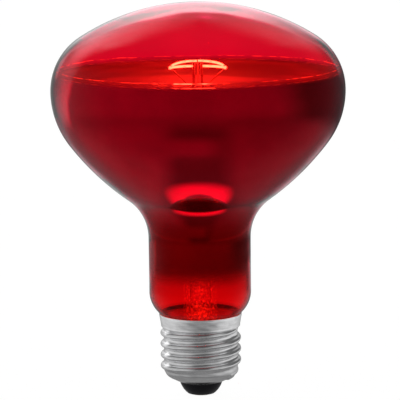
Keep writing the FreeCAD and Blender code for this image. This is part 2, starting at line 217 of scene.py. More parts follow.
class LampFinishes(bpy.types.PropertyGroup):
    """Colours of the lamp's materials."""

    ruby: colour("Ruby glass", (0.97, 0.018, 0.14), "Light that one wall of glass lets through")
    # Ruby glass in the neck, made darker than at the foot and in the bulb by painted shade
    ruby_neck_with_painted_shade: colour("Ruby in the neck", (0.74, 0.013, 0.04), "Light that the denser neck lets through")
    ruby_foot: colour("Ruby at the foot", (0.97, 0.019, 0.03), "Light that the clear band lets through")
    # Ruby glass at the join with the cap's lip, made dark by painted shade
    ruby_seam_with_painted_shade: colour("Ruby in the seam", (0.55, 0.009, 0.016), "Light that the glass's foot lets through")
    ruby_edge: share("Ruby at the edges", 0.05, "Share of that light where a wall is seen edge on")
    ruby_gloss: colour("Ruby gloss", (1.0, 0.04, 0.10), "Tint of the glass's reflection seen straight on")
    film_front: colour("Film under glass", (0.80, 0.79, 0.79), "Mirror film seen through the glass")
    # Painted shade: the film's colour is darkened in the neck and from the widest line upwards
    film_neck_painted_shade: share("Film in the neck", 0.7, "Brightness of the film in the neck, where it is thin")
    film_rim_painted_shade: share("Film at the rim", 0.62, "Brightness of the film from the widest line upwards")
    film_back: colour("Film inside", (0.62, 0.61, 0.60), "Mirror film seen from inside the bulb")
    film_edge: share("Film edge", 0.45, "Brightness of the line inside the film's upper rim")
    aluminium: colour("Aluminium", (0.90, 0.90, 0.91), "Rolled cap shell")
    insulator: colour("Insulator", (0.006, 0.006, 0.008), "Black insulator")
    brass: colour("Brass", (0.80, 0.56, 0.24), "Contact plate")
    solder: colour("Solder", (0.60, 0.60, 0.61), "Solder on the contact and the skirt")
    cement: colour("Cement", (0.62, 0.55, 0.45), "Basing cement")
    clear_glass: colour("Clear glass", (0.93, 0.96, 0.95), "Stem, exhaust tube and support rod")
    nickel: colour("Nickel", (0.36, 0.33, 0.30), "Leads inside the bulb")
    copper: colour("Copper", (0.80, 0.42, 0.26), "Leads inside the cap")
    support: colour("Support wire", (0.30, 0.29, 0.28), "Support wires")
    filament: colour("Filament wire", (0.3, 0.28, 0.26), "Metal of the filament under its glow")
    glow: colour("Filament glow", (1.0, 0.95, 0.055), "Colour of the glowing filament")
    glow_level: brightness("Glow level", 90.0, "Brightness of the glowing filament")
    # Painted glow: emission on the inside of the film that stands in for the filament's light
    film_painted_glow: colour("Film glow", (0.21, 0.004, 0.002), "Light of the filament on the inside of the film")
    # Painted glint: emission at the film's upper rim that stands in for reflections of the filament
    rim_painted_glint: colour("Rim glow", (90.0, 85.0, 5.0), "Light of the filament that leaks out at the film's rim")
    # Painted glints: sparkling emission in the stem that stands in for the filament's light
    stem_painted_glints: colour("Stem glow", (5.0, 1.6, 0.3), "Light that the stem leads down from the filament")
    # Painted glow: emission on the leads and supports that stands in for the filament's light
    wire_painted_glow: colour("Wire glow", (0.32, 0.02, 0.004), "Light of the filament on the leads and supports")
    # Painted glow: emission on the cement that stands in for the light that the neck leads down
    cement_painted_glow: colour("Cement glow", (0.34, 0.08, 0.02), "Light that the neck leads down to the cement")


class StageSetup(bpy.types.PropertyGroup):
    """Camera, floor and studio light."""

    camera_x: size("Camera sideways", 0.26, "Camera's distance to the right of the axis")
    camera_distance: size("Camera distance", 800.0, "Camera's distance in front of the axis")
    camera_height: size("Camera height", 195.5, "Camera's height over the floor")
    camera_pitch: angle("Camera pitch", 9.31, "How far the camera looks down")
    camera_roll: angle("Camera roll", 0.645, "How far the camera is turned clockwise")
    lens: FloatProperty(name="Lens", description="Focal length for a 36 mm frame", default=225.1,
                        unit="CAMERA")
    floor_width: size("Floor width", 6000.0, "Side of the square floor")
    floor_glow: share("Floor glow", 0.971, "Level of the floor's white, before the light that falls on it")
    floor_shade: share("Floor shade", 0.1, "How strongly the floor shows light and shadow")
    through_level: share("Level through glass", 0.78, "Level of the white background through glass")
    lamp_height: size("Lamp middle", 75.0, "Height from which the floor counts as far or near")
    left_level: brightness("Left level", 0.5, "Level of the open front towards the left")
    front_level: brightness("Front level", 0.42, "Level of the open front")
    right_level: brightness("Right level", 0.43, "Level of the open front towards the right")
    dark_level: brightness("Dark side level", 0.12, "Level of the right side, which has no light")
    panel_level: brightness("Panel level", 1.15, "Level of the white panel behind on the left")
    behind_level: brightness("Behind level", 0.32, "Level straight behind the lamp, on the left")
    shade_level: brightness("Shade level", 0.1, "Level straight behind the lamp, on the right")
    window_low: brightness("Window foot level", 1.6, "Level of the window behind the lamp at its foot")
    window_high: brightness("Window top level", 3.6, "Level of the window behind the lamp at its top")
    upper_left: brightness("Upper left level", 1.7, "Level over the window on the left")
    upper_right: brightness("Upper right level", 0.8, "Level over the window on the right")
    gap_level: brightness("Gap level", 0.15, "Level between the window and the roof")
    haze_level: brightness("Haze level", 0.55, "Level close over the window")
    roof_level: brightness("Roof level", 0.25, "Level of the roof")
    floor_level: share("Floor level", 0.33, "How much of that the floor gives back")
    pool_level: brightness("Pool level", 0.3, "Level of the pool of light on the floor in front")
    spot: colour("Spot", (1.6, 0.03, 0.9), "Red light of the lamp on the floor close round the cap")
    spot_reach: size("Spot reach", 28.0, "Distance from the axis at which that light ends")
    spot_oval: share("Spot oval", 0.84, "Depth of that light as a share of its width")
    far_floor: brightness("Far floor level", 0.75, "Level of the floor straight behind the lamp")
    left_floor: brightness("Left floor level", 0.34, "Level of the floor on the left")
    right_floor: brightness("Right floor level", 0.26, "Level of the floor on the right")
    bare_front: share("Bare front", 0.3, "Share of the front's light that reaches the bare cap")
    sheen_front: brightness("Sheen level in front", 0.28, "Level of the near floor at a slant, in front")
    sheen_side: brightness("Sheen level at the sides", 0.75, "Level of the near floor at a slant, beside")
    foot_level: brightness("Foot level", 0.24, "Level of the floor close under the cap")
    foot_reach: size("Foot reach", 22.0, "Distance from the axis at which that floor ends")
    sheen_reach: size("Sheen reach", 190.0, "Distance from the axis at which that sheen ends")


GROUPS = {
    "lamp_bulb": BulbSizes,
    "lamp_cap": CapSizes,
    "lamp_stem": StemSizes,
    "lamp_filament": FilamentSizes,
    "lamp_finishes": LampFinishes,
    "lamp_stage": StageSetup,
}


# Waves that make a surface uneven: strength, lobes round the axis, rise with the height, shift
GLASS_WAVER = ((1.0, 2, 2.1, 1.3), (0.7, 3, -5.3, -0.4), (0.5, 1, 11.0, 0.0), (0.35, 5, -9.0, 2.0))
FILM_RIPPLE = ((0.5, 3, 0.0, 0.6), (0.3, 7, 0.0, 0.0), (0.2, 13, 0.0, 0.0))
SHEET_DENTS = ((1.0, 5, 900.0, 0.0), (1.0, 9, -1700.0, 1.0), (1.0, 14, 2600.0, 2.0))
CONTACT_LUMPS = ((0.05, 3, 0.0, 0.5), (0.03, 5, 0.0, 0.0))
DROP_LUMPS = ((0.05, 2, 0.0, 1.0), (0.04, 3, 0.0, 0.0))


# Outlines: arrays of (radius, height) points

def arc(centre, radius, start, end, count=48):
    """Points on a circle about centre, from one angle to another."""
    turn = np.linspace(start, end, count)
    return np.column_stack((centre[0] + radius * np.cos(turn), centre[1] + radius * np.sin(turn)))


def upright(radius, start, end, count):
    """Points at one radius, from one height to another."""
    return np.column_stack((np.full(count, radius), np.linspace(start, end, count)))


def joined(*spans):
    """One line through all spans, with the points that they share kept once."""
    return np.concatenate([spans[0], *[span[1:] for span in spans[1:]]])


def lengths(line):
    """Distance along a line at each of its points."""
    steps = np.linalg.norm(np.diff(line, axis=0), axis=1)
    return np.concatenate(([0.0], np.cumsum(steps)))


def resampled(line, count):
    """The same line with count points at equal distances."""
    along = lengths(line)
    marks = np.linspace(0, along[-1], count)
    return np.column_stack([np.interp(marks, along, axis) for axis in line.T])


def unit(vectors):
    """Vectors brought to length 1."""
    return vectors / np.linalg.norm(vectors, axis=-1, keepdims=True)


def eased(part):
    """Share that starts and ends gently: three times its square less twice its cube."""
    return part * part * (3 - 2 * part)


def rounded(points, bend, count=9):
    """Straight runs through points in the plane or in space, with each corner turned by an arc.

    An arc starts and ends where its tangents meet the runs: bend / tan(half of the corner's angle) from
    the corner, and its points are the tangent point moved along the run and towards the centre.
    """
    points = np.asarray(points, float)
    bends = np.broadcast_to(bend, len(points) - 2)
    spans = [points[:1]]
    for before, corner, after, radius in zip(points, points[1:], points[2:], bends):
        back = unit(before - corner)
        on = unit(after - corner)
        half = acos(np.clip(back @ on, -1, 1)) / 2
        start = corner + back * radius / tan(half)
        inward = unit(on - back * (on @ back))
        turn = np.linspace(0, pi - 2 * half, count)[:, None]
        spans.append(start - back * radius * np.sin(turn) + inward * radius * (1 - np.cos(turn)))
    spans.append(points[-1:])
    return np.concatenate(spans)


# Surfaces: rows of rings

def round_steps(count):
    """Turns of count points evenly round a circle."""
    return np.linspace(0, 2 * pi, count, endpoint=False)


def oval(half_x, half_y, height, turn):
    """Points at a height: half_x times the cosine of their turn, and half_y times its sine."""
    return np.stack(np.broadcast_arrays(half_x * np.cos(turn), half_y * np.sin(turn), height), axis=-1)


def rings(outline, around):
    """Surface of revolution: each (radius, height) point of the outline goes round the axis."""
    radius, height = outline[:, :1], outline[:, 1:]
    return oval(radius, radius, height, round_steps(around))


def ripples(waves, turn, height=0.0):
    """Sum of sine waves, whose phase grows with the turn and the height."""
    return sum(strength * np.sin(lobes * turn + rise * height + shift)
               for strength, lobes, rise, shift in waves)


def tube(path, radius, reference, sides):
    """Circle carried along a path in space.

    The circle's first axis is the path's direction crossed with the reference, and its second axis is the
    direction crossed with the first.
    """
    along = unit(np.gradient(path, axis=0))
    first = unit(np.cross(along, np.broadcast_to(reference, path.shape)))
    second = np.cross(along, first)
    turn = round_steps(sides)[None, :, None]
    return path[:, None] + radius * (first[:, None] * np.cos(turn) + second[:, None] * np.sin(turn))


def skin(name, rows, start=None, end=None, looped=False, crease=None):
    """Mesh over rows of rings, with every ring closed round and each row joined to the next.

    The first and last rings close in a fan on the points start and end, or onto each other when looped.
    Where the enclosed volume comes out negative, every face is turned round, so that faces point outwards.
    Edges that turn by more than crease, in degrees, are sharp.
    """
    count, around = rows.shape[:2]
    index = np.arange(count * around).reshape(count, around)
    low = index if looped else index[:-1]
    high = np.roll(index, -1, axis=0) if looped else index[1:]
    quads = np.stack((low, np.roll(low, -1, 1), np.roll(high, -1, 1), high), axis=-1).reshape(-1, 4)
    points = [rows.reshape(-1, 3)]
    fans = []
    for pole, ring, way in ((start, index[0], -1), (end, index[-1], 1)):
        if pole is not None:
            centre = np.full(around, sum(len(p) for p in points))
            fans.append(np.stack((centre, ring, np.roll(ring, -1))[::way], axis=-1))
            points.append(np.asarray(pole, float).reshape(1, 3))
    points = np.concatenate(points)
    triangles = np.concatenate([quads[:, :3], quads[:, [0, 2, 3]], *fans])
    a, b, c = points[triangles].transpose(1, 0, 2)
    inside_out = np.einsum("ij,ij->", a, np.cross(b, c)) < 0
    step = -1 if inside_out else 1
    faces = [quads[:, ::step], *[fan[:, ::step] for fan in fans]]
    corners = np.concatenate([group.ravel() for group in faces])
    totals = np.concatenate([np.full(len(group), group.shape[1]) for group in faces])
    mesh = bpy.data.meshes.new(name)
    mesh.vertices.add(len(points))
    mesh.vertices.foreach_set("co", points.ravel())
    mesh.loops.add(len(corners))
    mesh.loops.foreach_set("vertex_index", corners.astype(np.int32))
    mesh.polygons.add(len(totals))
    mesh.polygons.foreach_set("loop_start", (np.cumsum(totals) - totals).astype(np.int32))
    mesh.update(calc_edges=True)
    mesh.validate()
    mesh.shade_smooth()
    if crease is not None:
        mesh.set_sharp_from_angle(angle=radians(crease))
    return mesh


def piece(name, mesh, material, slot, *nodes):
    """Object for a finished mesh, which rides on the lamp's body and stands for its CAD nodes."""
    made = bpy.data.objects.new(name, mesh)
    bpy.context.scene.collection.objects.link(made)
    mesh.materials.append(material)
    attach(made, BODY)
    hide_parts(*nodes)
    return made


# Shader nodes

BLACK, WHITE = (0.0, 0.0, 0.0), (1.0, 1.0, 1.0)

# Stretches of a noise: nearly all of its values, those that leave rubbed places, clear bands and painted
# sparkles
EVEN = (0.3, 0.7)
RUBBED = (0.35, 0.65)
BANDED = (0.4, 0.6)
SPARKLING = (0.5, 0.66)


def feed(tree, socket, value):
    """Links an output to a socket, or sets the socket's own value, with a full alpha for a colour."""
    if isinstance(value, bpy.types.NodeSocket):
        tree.links.new(value, socket)
    elif socket.type == "RGBA":
        socket.default_value = (*value, 1.0)
    else:
        socket.default_value = value


def fill(tree, shader, **inputs):
    """Feeds the sockets of a shader, whose names are written with _ for a space."""
    for name, value in inputs.items():
        feed(tree, shader.inputs[name.replace("_", " ")], value)


def node(tree, kind, inputs=None, **settings):
    """Shader node with its settings, and with its inputs set or linked."""
    made = tree.nodes.new("ShaderNode" + kind)
    for name, value in settings.items():
        setattr(made, name, value)
    for name, value in (inputs or {}).items():
        feed(tree, made.inputs[name], value)
    return made


def math(tree, operation, *values):
    """Output of a Math node."""
    return node(tree, "Math", dict(enumerate(values)), operation=operation).outputs[0]


def vector(tree, operation, *values):
    """Outputs of a Vector Math node."""
    return node(tree, "VectorMath", dict(enumerate(values)), operation=operation).outputs


def product(tree, first, *others):
    """Output of Math nodes that multiply values one after the other."""
    for value in others:
        first = math(tree, "MULTIPLY", first, value)
    return first


def ramp(tree, value, low, high, start=0.0, end=1.0, smooth=True):
    """Value that goes from start to end while another goes from low to high."""
    limits = {"Value": value, "From Min": low, "From Max": high, "To Min": start, "To Max": end}
    kind = "SMOOTHSTEP" if smooth else "LINEAR"
    return node(tree, "MapRange", limits, interpolation_type=kind).outputs["Result"]


def blended(tree, factor, one, other):
    """Number that goes from one to another."""
    return node(tree, "Mix", {"Factor": factor, "A": one, "B": other}).outputs["Result"]


def tinted(tree, factor, one, other):
    """Colour that goes from one to another."""
    mixed = node(tree, "Mix", {"Factor": factor}, data_type="RGBA")
    feed(tree, mixed.inputs[6], one)
    feed(tree, mixed.inputs[7], other)
    return mixed.outputs[2]


def scaled(shade, factor):
    """Colour made darker or lighter."""
    return tuple(channel * factor for channel in shade)


def position(tree):
    """Place on the piece, in its Object coordinates."""
    return node(tree, "TexCoord").outputs["Object"]


def axes(tree, place):
    """X, Y and Z of a place or direction."""
    return tuple(node(tree, "SeparateXYZ", {"Vector": place}).outputs)


def noise(tree, scale, stretch=(1.0, 1.0, 1.0), detail=3.0):
    """Noise on the piece, in waves per metre."""
    moved = node(tree, "Mapping", {"Vector": position(tree), "Scale": stretch}).outputs["Vector"]
    return node(tree, "TexNoise", {"Vector": moved, "Scale": scale, "Detail": detail}).outputs["Fac"]


def clouded(tree, grain, shade, dark, stretch=EVEN):
    """Colour that sinks to a dark share of itself in the low parts of a noise."""
    return tinted(tree, ramp(tree, grain, *stretch), scaled(shade, dark), shade)


def relief(tree, height, strength, depth):
    """Normal of a surface with a relief of a depth."""
    return node(tree, "Bump", {"Strength": strength, "Distance": depth, "Height": height}).outputs["Normal"]


# Materials

def finish(name, **inputs):
    """New material with one Principled shader, whose plain values are set on its own sockets."""
    material = bpy.data.materials.new(name)
    material.use_nodes = True
    tree = material.node_tree
    shader = tree.nodes["Principled BSDF"]
    fill(tree, shader, **inputs)
    return material, tree, shader


def patterned(name, shade, dark, scale, roughness, bump=0.0, depth=0.0, **inputs):
    """Material whose colour, roughness and relief follow one noise.

    Dark is the share of the colour that is left in the low parts of the noise, roughness is a pair for its
    low and its high parts, and depth is the relief's height.
    """
    material, tree, shader = finish(name, **inputs)
    grain = noise(tree, scale)
    fill(tree, shader, Base_Color=clouded(tree, grain, shade, dark),
         Roughness=ramp(tree, grain, *EVEN, *roughness))
    if bump:
        fill(tree, shader, Normal=relief(tree, grain, bump, depth))
    return material


def ruby_glass(colours, plan):
    """Ruby glass with slow drifts and waves, whose gloss is red straight on and white at the edges.

    From the cap upwards its colour goes from the seam's to the foot's, the neck's and, over the flare, the
    bulb's; the dark seam at the cap's lip and the darker neck are painted shade. Seen at a slant the wall is
    deeper and lets little through, least of all below the dome.
    """
    material, tree, shader = finish("ruby_glass", Transmission_Weight=1.0, IOR=1.22, Roughness=0.0,
                                    Specular_Tint=colours.ruby_gloss)
    height = axes(tree, position(tree))[2]
    seam = ramp(tree, height, RIM_Z + 0.2 * MM, RIM_Z + 1.0 * MM)
    foot = ramp(tree, height, RIM_Z, RIM_Z + plan.sizes.clear_band)
    flare = ramp(tree, height, plan.flare_z, plan.flare_z + plan.sizes.flare_radius)
    drift = noise(tree, scale=45.0, stretch=(1.0, 1.0, 0.35), detail=2.0)
    bulb = clouded(tree, drift, colours.ruby, dark=0.93)
    # Painted shade: the glass is darkened at the seam with the cap and in the neck
    tint = tinted(tree, seam, colours.ruby_seam_with_painted_shade, colours.ruby_foot)
    tint = tinted(tree, foot, tint, colours.ruby_neck_with_painted_shade)
    tint = tinted(tree, flare, tint, bulb)
    edge_on = ramp(tree, node(tree, "LayerWeight").outputs["Facing"], 0.55, 0.92, end=0.92)
    dome = ramp(tree, height, plan.widest_z, plan.widest_z + 18 * MM, 1.0, 0.6)
    tint = tinted(tree, product(tree, edge_on, dome), tint, scaled(colours.ruby, colours.ruby_edge))
    waves = noise(tree, scale=34.0, stretch=(1.0, 1.0, 1.6), detail=1.5)
    fill(tree, shader, Base_Color=tint, Normal=relief(tree, waves, strength=1.0, depth=1.0 * MM))
    return material


def film_painted_glints(tree, top):
    """Share of painted glints in patches at the film's upper rim, most of them in front.

    These painted glints stand in for reflections of the filament, along the rim itself, and more weakly
    along a line below it.
    """
    x, y, z = axes(tree, position(tree))
    rim = ramp(tree, z, top - 0.3 * MM, top - 0.1 * MM)
    line = product(tree, ramp(tree, z, top - 1.5 * MM, top - 1.4 * MM, 0.0, 0.1),
                   ramp(tree, z, top - 1.3 * MM, top - 1.2 * MM, 1.0, 0.0))
    aside = math(tree, "ABSOLUTE", math(tree, "ADD", x, 2.5 * MM))
    front = product(tree, ramp(tree, aside, 3 * MM, 12 * MM, 0.9, 0.0),
                    ramp(tree, y, -20 * MM, 0.0, 1.0, 0.0))
    all_round = 0.05
    return product(tree, math(tree, "MAXIMUM", rim, line), math(tree, "ADD", front, all_round),
                   ramp(tree, noise(tree, 320.0), *BANDED))


def mirror_film(colours, plan, low, high):
    """Bright metal film, which thins out between low and high at its lower rim, and at its upper one.

    Seen through the glass it is brightest in the lower bowl, and darker in the neck and over the widest line,
    which is painted shade.
    Its inner side is duller, in bands, with a dark line under the upper rim, and a painted glow on it stands
    in for the filament's light.
    """
    material, tree, shader = finish("mirror_film", Metallic=1.0, Emission_Strength=1.0)
    inside = node(tree, "Attribute", attribute_name="inside").outputs["Fac"]
    height = axes(tree, position(tree))[2]
    top = plan.widest_z + plan.sizes.film_rise
    flare_end_z = plan.flare_z + plan.sizes.flare_radius * sin(plan.sizes.flare_angle)
    # Painted shade: the film under the glass is darker in the neck and over the widest line
    painted_height_shade = product(tree, ramp(tree, height, plan.flare_z, flare_end_z, colours.film_neck_painted_shade, 1.0),
                     ramp(tree, height, plan.bowl_end_z, plan.widest_z, 1.0, colours.film_rim_painted_shade))
    clouds = noise(tree, 120.0)
    front = tinted(tree, painted_height_shade, BLACK, clouded(tree, clouds, colours.film_front, dark=0.9))
    bands = noise(tree, scale=330.0, stretch=(0.06, 0.06, 1.0), detail=1.0)
    back = clouded(tree, bands, colours.film_back, dark=0.7, stretch=BANDED)
    edge = ramp(tree, height, top - 1.8 * MM, top - 1.0 * MM)
    back = tinted(tree, edge, back, scaled(colours.film_back, colours.film_edge))
    # Painted light: the inner side glows where the filament's light falls, and the rim carries painted glints
    lit = clouded(tree, bands, colours.film_painted_glow, dark=0.6, stretch=BANDED)
    lit = tinted(tree, film_painted_glints(tree, top), tinted(tree, inside, BLACK, lit), colours.rim_painted_glint)
    polish = blended(tree, inside, 0.03, 0.38)
    cloud_polish = 0.04
    drift = (high - low) * 0.3
    uneven = math(tree, "MULTIPLY_ADD", noise(tree, 90.0), drift, height)
    thick = product(tree, ramp(tree, uneven, low + drift / 2, high + drift / 2),
                    ramp(tree, height, top - 2.4 * MM, top - 0.6 * MM, 1.0, 0.15))
    fill(tree, shader, Base_Color=tinted(tree, inside, front, back), Emission_Color=lit, Alpha=thick,
         Roughness=math(tree, "MULTIPLY_ADD", ramp(tree, clouds, *EVEN), cloud_polish, polish))
    return material


def clear_glass(colours, name, **inputs):
    """Clear glass with a faint, sparkling painted glow for the filament's light that it leads along."""
    material, tree, shader = finish(name, Roughness=0.05, **inputs)
    painted_sparkle = ramp(tree, noise(tree, 1300.0), *SPARKLING)
    fill(tree, shader, Base_Color=clouded(tree, noise(tree, 120.0), colours.clear_glass, dark=0.95),
         Emission_Color=tinted(tree, painted_sparkle, BLACK, colours.stem_painted_glints))
    return material


def rolled_aluminium(colours):
    """Satin sheet with fine marks along the rolling, cloudy patches and rubbed high places."""
    material, tree, shader = finish("rolled_aluminium", Metallic=1.0, Anisotropic=0.25)
    marks = noise(tree, scale=900.0, stretch=(0.25, 0.25, 3.0), detail=4.0)
    share_of_marks = 0.4
    both = blended(tree, share_of_marks, noise(tree, 260.0), marks)
    fill(tree, shader, Base_Color=clouded(tree, both, colours.aluminium, dark=0.84, stretch=RUBBED),
         Roughness=ramp(tree, both, *RUBBED, 0.22, 0.12),
         Normal=relief(tree, marks, strength=0.08, depth=0.03 * MM))
    return material


def solder_metal(colours):
    """Dull cast metal with a faint orange-peel skin."""
    return patterned("solder", colours.solder, dark=0.78, scale=1500.0, roughness=(0.28, 0.46), bump=0.3,
                     depth=0.04 * MM, Metallic=1.0)


def painted_glow_wire(name, shade, scale, roughness, glow, level=1.0):
    """Drawn wire with a painted glow that stands in for a little of the filament's light on it."""
    return patterned(name, shade, dark=0.75, scale=scale, roughness=roughness, Metallic=1.0,
                     Emission_Color=glow, Emission_Strength=level)


def glowing_wire(colours):
    """White-hot coil, a little cooler in slow drifts along its length."""
    material, tree, shader = finish("glowing_wire", Metallic=1.0, Roughness=0.5, Base_Color=colours.filament,
                                    Emission_Strength=colours.glow_level)
    fill(tree, shader, Emission_Color=clouded(tree, noise(tree, 300.0), colours.glow, dark=0.8))
    return material


# The bulb

class BulbPlan:
    """Heights and outlines that follow from the bulb's sizes."""

    def __init__(self, sizes, lip_radius):
        self.sizes = sizes
        self.radius = sizes.diameter / 2
        self.neck = sizes.neck_diameter / 2
        self.seal = sizes.seal_diameter / 2
        self.shoulder = self.neck - sizes.neck_shoulder_radius
        touch = acos((lip_radius - self.shoulder) / sizes.neck_shoulder_radius)
        self.neck_base = RIM_Z + sizes.lip_gap + sizes.neck_shoulder_radius * sin(touch)
        self.tuck = self.seal + sizes.tuck_radius
        reach = sizes.neck_shoulder_radius + sizes.tuck_radius
        self.tuck_turn = acos((self.tuck - self.shoulder) / reach)
        self.tuck_z = self.neck_base - reach * sin(self.tuck_turn)
        self.flare_z = self.neck_base + sizes.neck_length
        bowl, flare = sizes.bowl_angle, sizes.flare_angle
        self.bowl_end = self.radius - sizes.bowl_radius * (1 - cos(bowl))
        flare_reach = sizes.flare_radius * (1 - cos(flare))
        self.cone = (self.bowl_end - self.neck - flare_reach) / (cos(bowl) - cos(flare))
        cone_rise = self.cone * (sin(flare) - sin(bowl))
        self.bowl_end_z = self.flare_z + sizes.flare_radius * sin(flare) + cone_rise
        self.widest_z = self.bowl_end_z + sizes.bowl_radius * sin(bowl)
        self.crown = self.radius - sizes.shoulder_radius
        rise = sqrt((sizes.face_radius - sizes.shoulder_radius) ** 2 - self.crown ** 2)
        self.face_z = self.widest_z - rise
        self.face_turn = atan2(rise, self.crown)

    def outline(self, inset):
        """Circles that meet smoothly, from the dome's apex down to the sealed end, moved in by inset."""
        sizes = self.sizes
        bowl, flare = sizes.bowl_angle, sizes.flare_angle
        cone_centre = (self.bowl_end - self.cone * cos(bowl), self.bowl_end_z + self.cone * sin(bowl))
        end = self.seal - inset
        return joined(
            arc((0.0, self.face_z), sizes.face_radius - inset, pi / 2, self.face_turn),
            arc((self.crown, self.widest_z), sizes.shoulder_radius - inset, self.face_turn, 0.0),
            arc((self.radius - sizes.bowl_radius, self.widest_z), sizes.bowl_radius - inset, 0.0, -bowl),
            arc(cone_centre, self.cone - inset, -bowl, -flare),
            arc((self.neck + sizes.flare_radius, self.flare_z), sizes.flare_radius + inset, pi - flare, pi),
            arc((self.shoulder, self.neck_base), sizes.neck_shoulder_radius - inset, 0.0, -self.tuck_turn),
            arc((self.tuck, self.tuck_z), sizes.tuck_radius + inset, pi - self.tuck_turn, pi),
            np.array([(end, self.tuck_z), (end, SEAL_Z)]),
        )

    def blown(self, rows):
        """Rings made uneven as blown glass is.

        The radius gains a sum of slow waves round and up the bulb, which fade out at the axis and below the
        neck, so that the fits at the cap stay true.
        """
        x, y, z = np.moveaxis(rows, -1, 0)
        waves = ripples(GLASS_WAVER, np.arctan2(y, x), z / self.radius)
        reach = np.hypot(x, y) / self.radius
        fade = np.clip(reach, 0, 1) * np.clip((z - self.neck_base) / self.sizes.neck_length, 0, 1)
        growth = 1 + self.sizes.waver * waves * fade / self.radius
        return np.stack((x * growth, y * growth, z), axis=-1)


def bulb_plan():
    """Plan of the bulb that sits in the cap's lip."""
    cap = bpy.context.scene.lamp_cap
    return BulbPlan(bpy.context.scene.lamp_bulb, cap.lip_diameter / 2 - cap.wall)


class LAMP_OT_envelope(bpy.types.Operator):
    """Build the blown ruby bulb: its outer outline turned about the axis, and back up the inner wall"""

    bl_idname = "heat_lamp.envelope"
    bl_label = "Ruby Bulb"

    def execute(self, context):
        sizes = context.scene.lamp_bulb
        plan = bulb_plan()
        outer = resampled(plan.outline(0.0), sizes.along + 1)
        inner = resampled(plan.outline(sizes.wall), sizes.along + 1)
        rows = plan.blown(rings(np.concatenate((outer[1:], inner[:0:-1])), sizes.around))
        mesh = skin("envelope", rows, (0, 0, outer[0, 1]), (0, 0, inner[0, 1]))
        piece("envelope_glass", mesh, ruby_glass(context.scene.lamp_finishes, plan), "ruby_glass", "envelope")
        return {"FINISHED"}


class LAMP_OT_mirror(bpy.types.Operator):
    """Build the mirror film: a thin skin on the glass between two uneven rims, the lower one more uneven"""

    bl_idname = "heat_lamp.mirror"
    bl_label = "Mirror Film"
    thin_height: size("Thin height", 8.0, "Height over which the film thins out at its lower rim")
    upper_ripple: share("Upper ripple", 0.3, "Share of the ripple that the upper rim has")

    def execute(self, context):
        sizes = context.scene.lamp_bulb
        plan = bulb_plan()
        top = plan.widest_z + sizes.film_rise
        base = RIM_Z + sizes.clear_band
        turn = round_steps(sizes.around)
        ripple = sizes.film_ripple * ripples(FILM_RIPPLE, turn)
        part = np.linspace(0, 1, sizes.along)[:, None]
        sides = []
        for inset in (sizes.wall + sizes.film_gap, sizes.wall + sizes.film):
            line = plan.outline(inset)
            along = lengths(line)
            start, end = np.interp((-top, -base), -line[:, 1], along)
            first, last = start - ripple * self.upper_ripple, end + ripple
            marks = first + part * (last - first)
            radius = np.interp(marks, along, line[:, 0])
            sides.append(oval(radius, radius, np.interp(marks, along, line[:, 1]), turn))
        rows = plan.blown(np.concatenate((sides[0], sides[1][::-1])))
        mesh = skin("mirror", rows, looped=True, crease=60)
        inside = np.repeat((0.0, 1.0), sizes.along * sizes.around)
        mesh.attributes.new("inside", "FLOAT", "POINT").data.foreach_set("value", inside)
        film = mirror_film(context.scene.lamp_finishes, plan, base, base + self.thin_height)
        piece("mirror_film", mesh, film, "mirror_film", "mirror_coating")
        return {"FINISHED"}


# The cap

def thread_reach(sizes, turn, height):
    """Radius of the thread's ridge at a turn round the axis and a height.

    Across the ridge the section is a round crest that runs into round roots half a pitch to either side.
    Along the helix the ridge sinks by a raised cosine over the run-out at both ends.
    """
    crest = sizes.thread_diameter / 2
    floor = sizes.root_diameter / 2 - sizes.blend
    depth = crest - floor
    half = sizes.pitch / 2
    centres = (half ** 2 + depth ** 2) / (2 * depth)
    hollow = centres - sizes.crest_radius
    flank = sizes.crest_radius * sin(atan2(half, centres - depth))
    base = SHELL_END_Z + sizes.thread_height
    first = -sizes.lead_in
    last = (RIM_Z - sizes.skirt_height + sizes.end_lap - base) / sizes.pitch
    lap = np.round((height - base) / sizes.pitch - turn / (2 * pi))
    at = turn / (2 * pi) + lap
    across = np.abs(height - base - at * sizes.pitch)
    top = crest - sizes.crest_radius + np.sqrt(np.maximum(sizes.crest_radius ** 2 - across ** 2, 0))
    root = floor + hollow - np.sqrt(np.maximum(hollow ** 2 - (half - across) ** 2, 0))
    ends = np.clip(np.minimum(at - first, last - at) / sizes.run_out, 0, 1)
    sink = (depth + sizes.blend) * (1 + np.cos(pi * ends)) / 2
    return np.where(ends > 0, np.where(across < flank, top, root) - sink, 0.0)


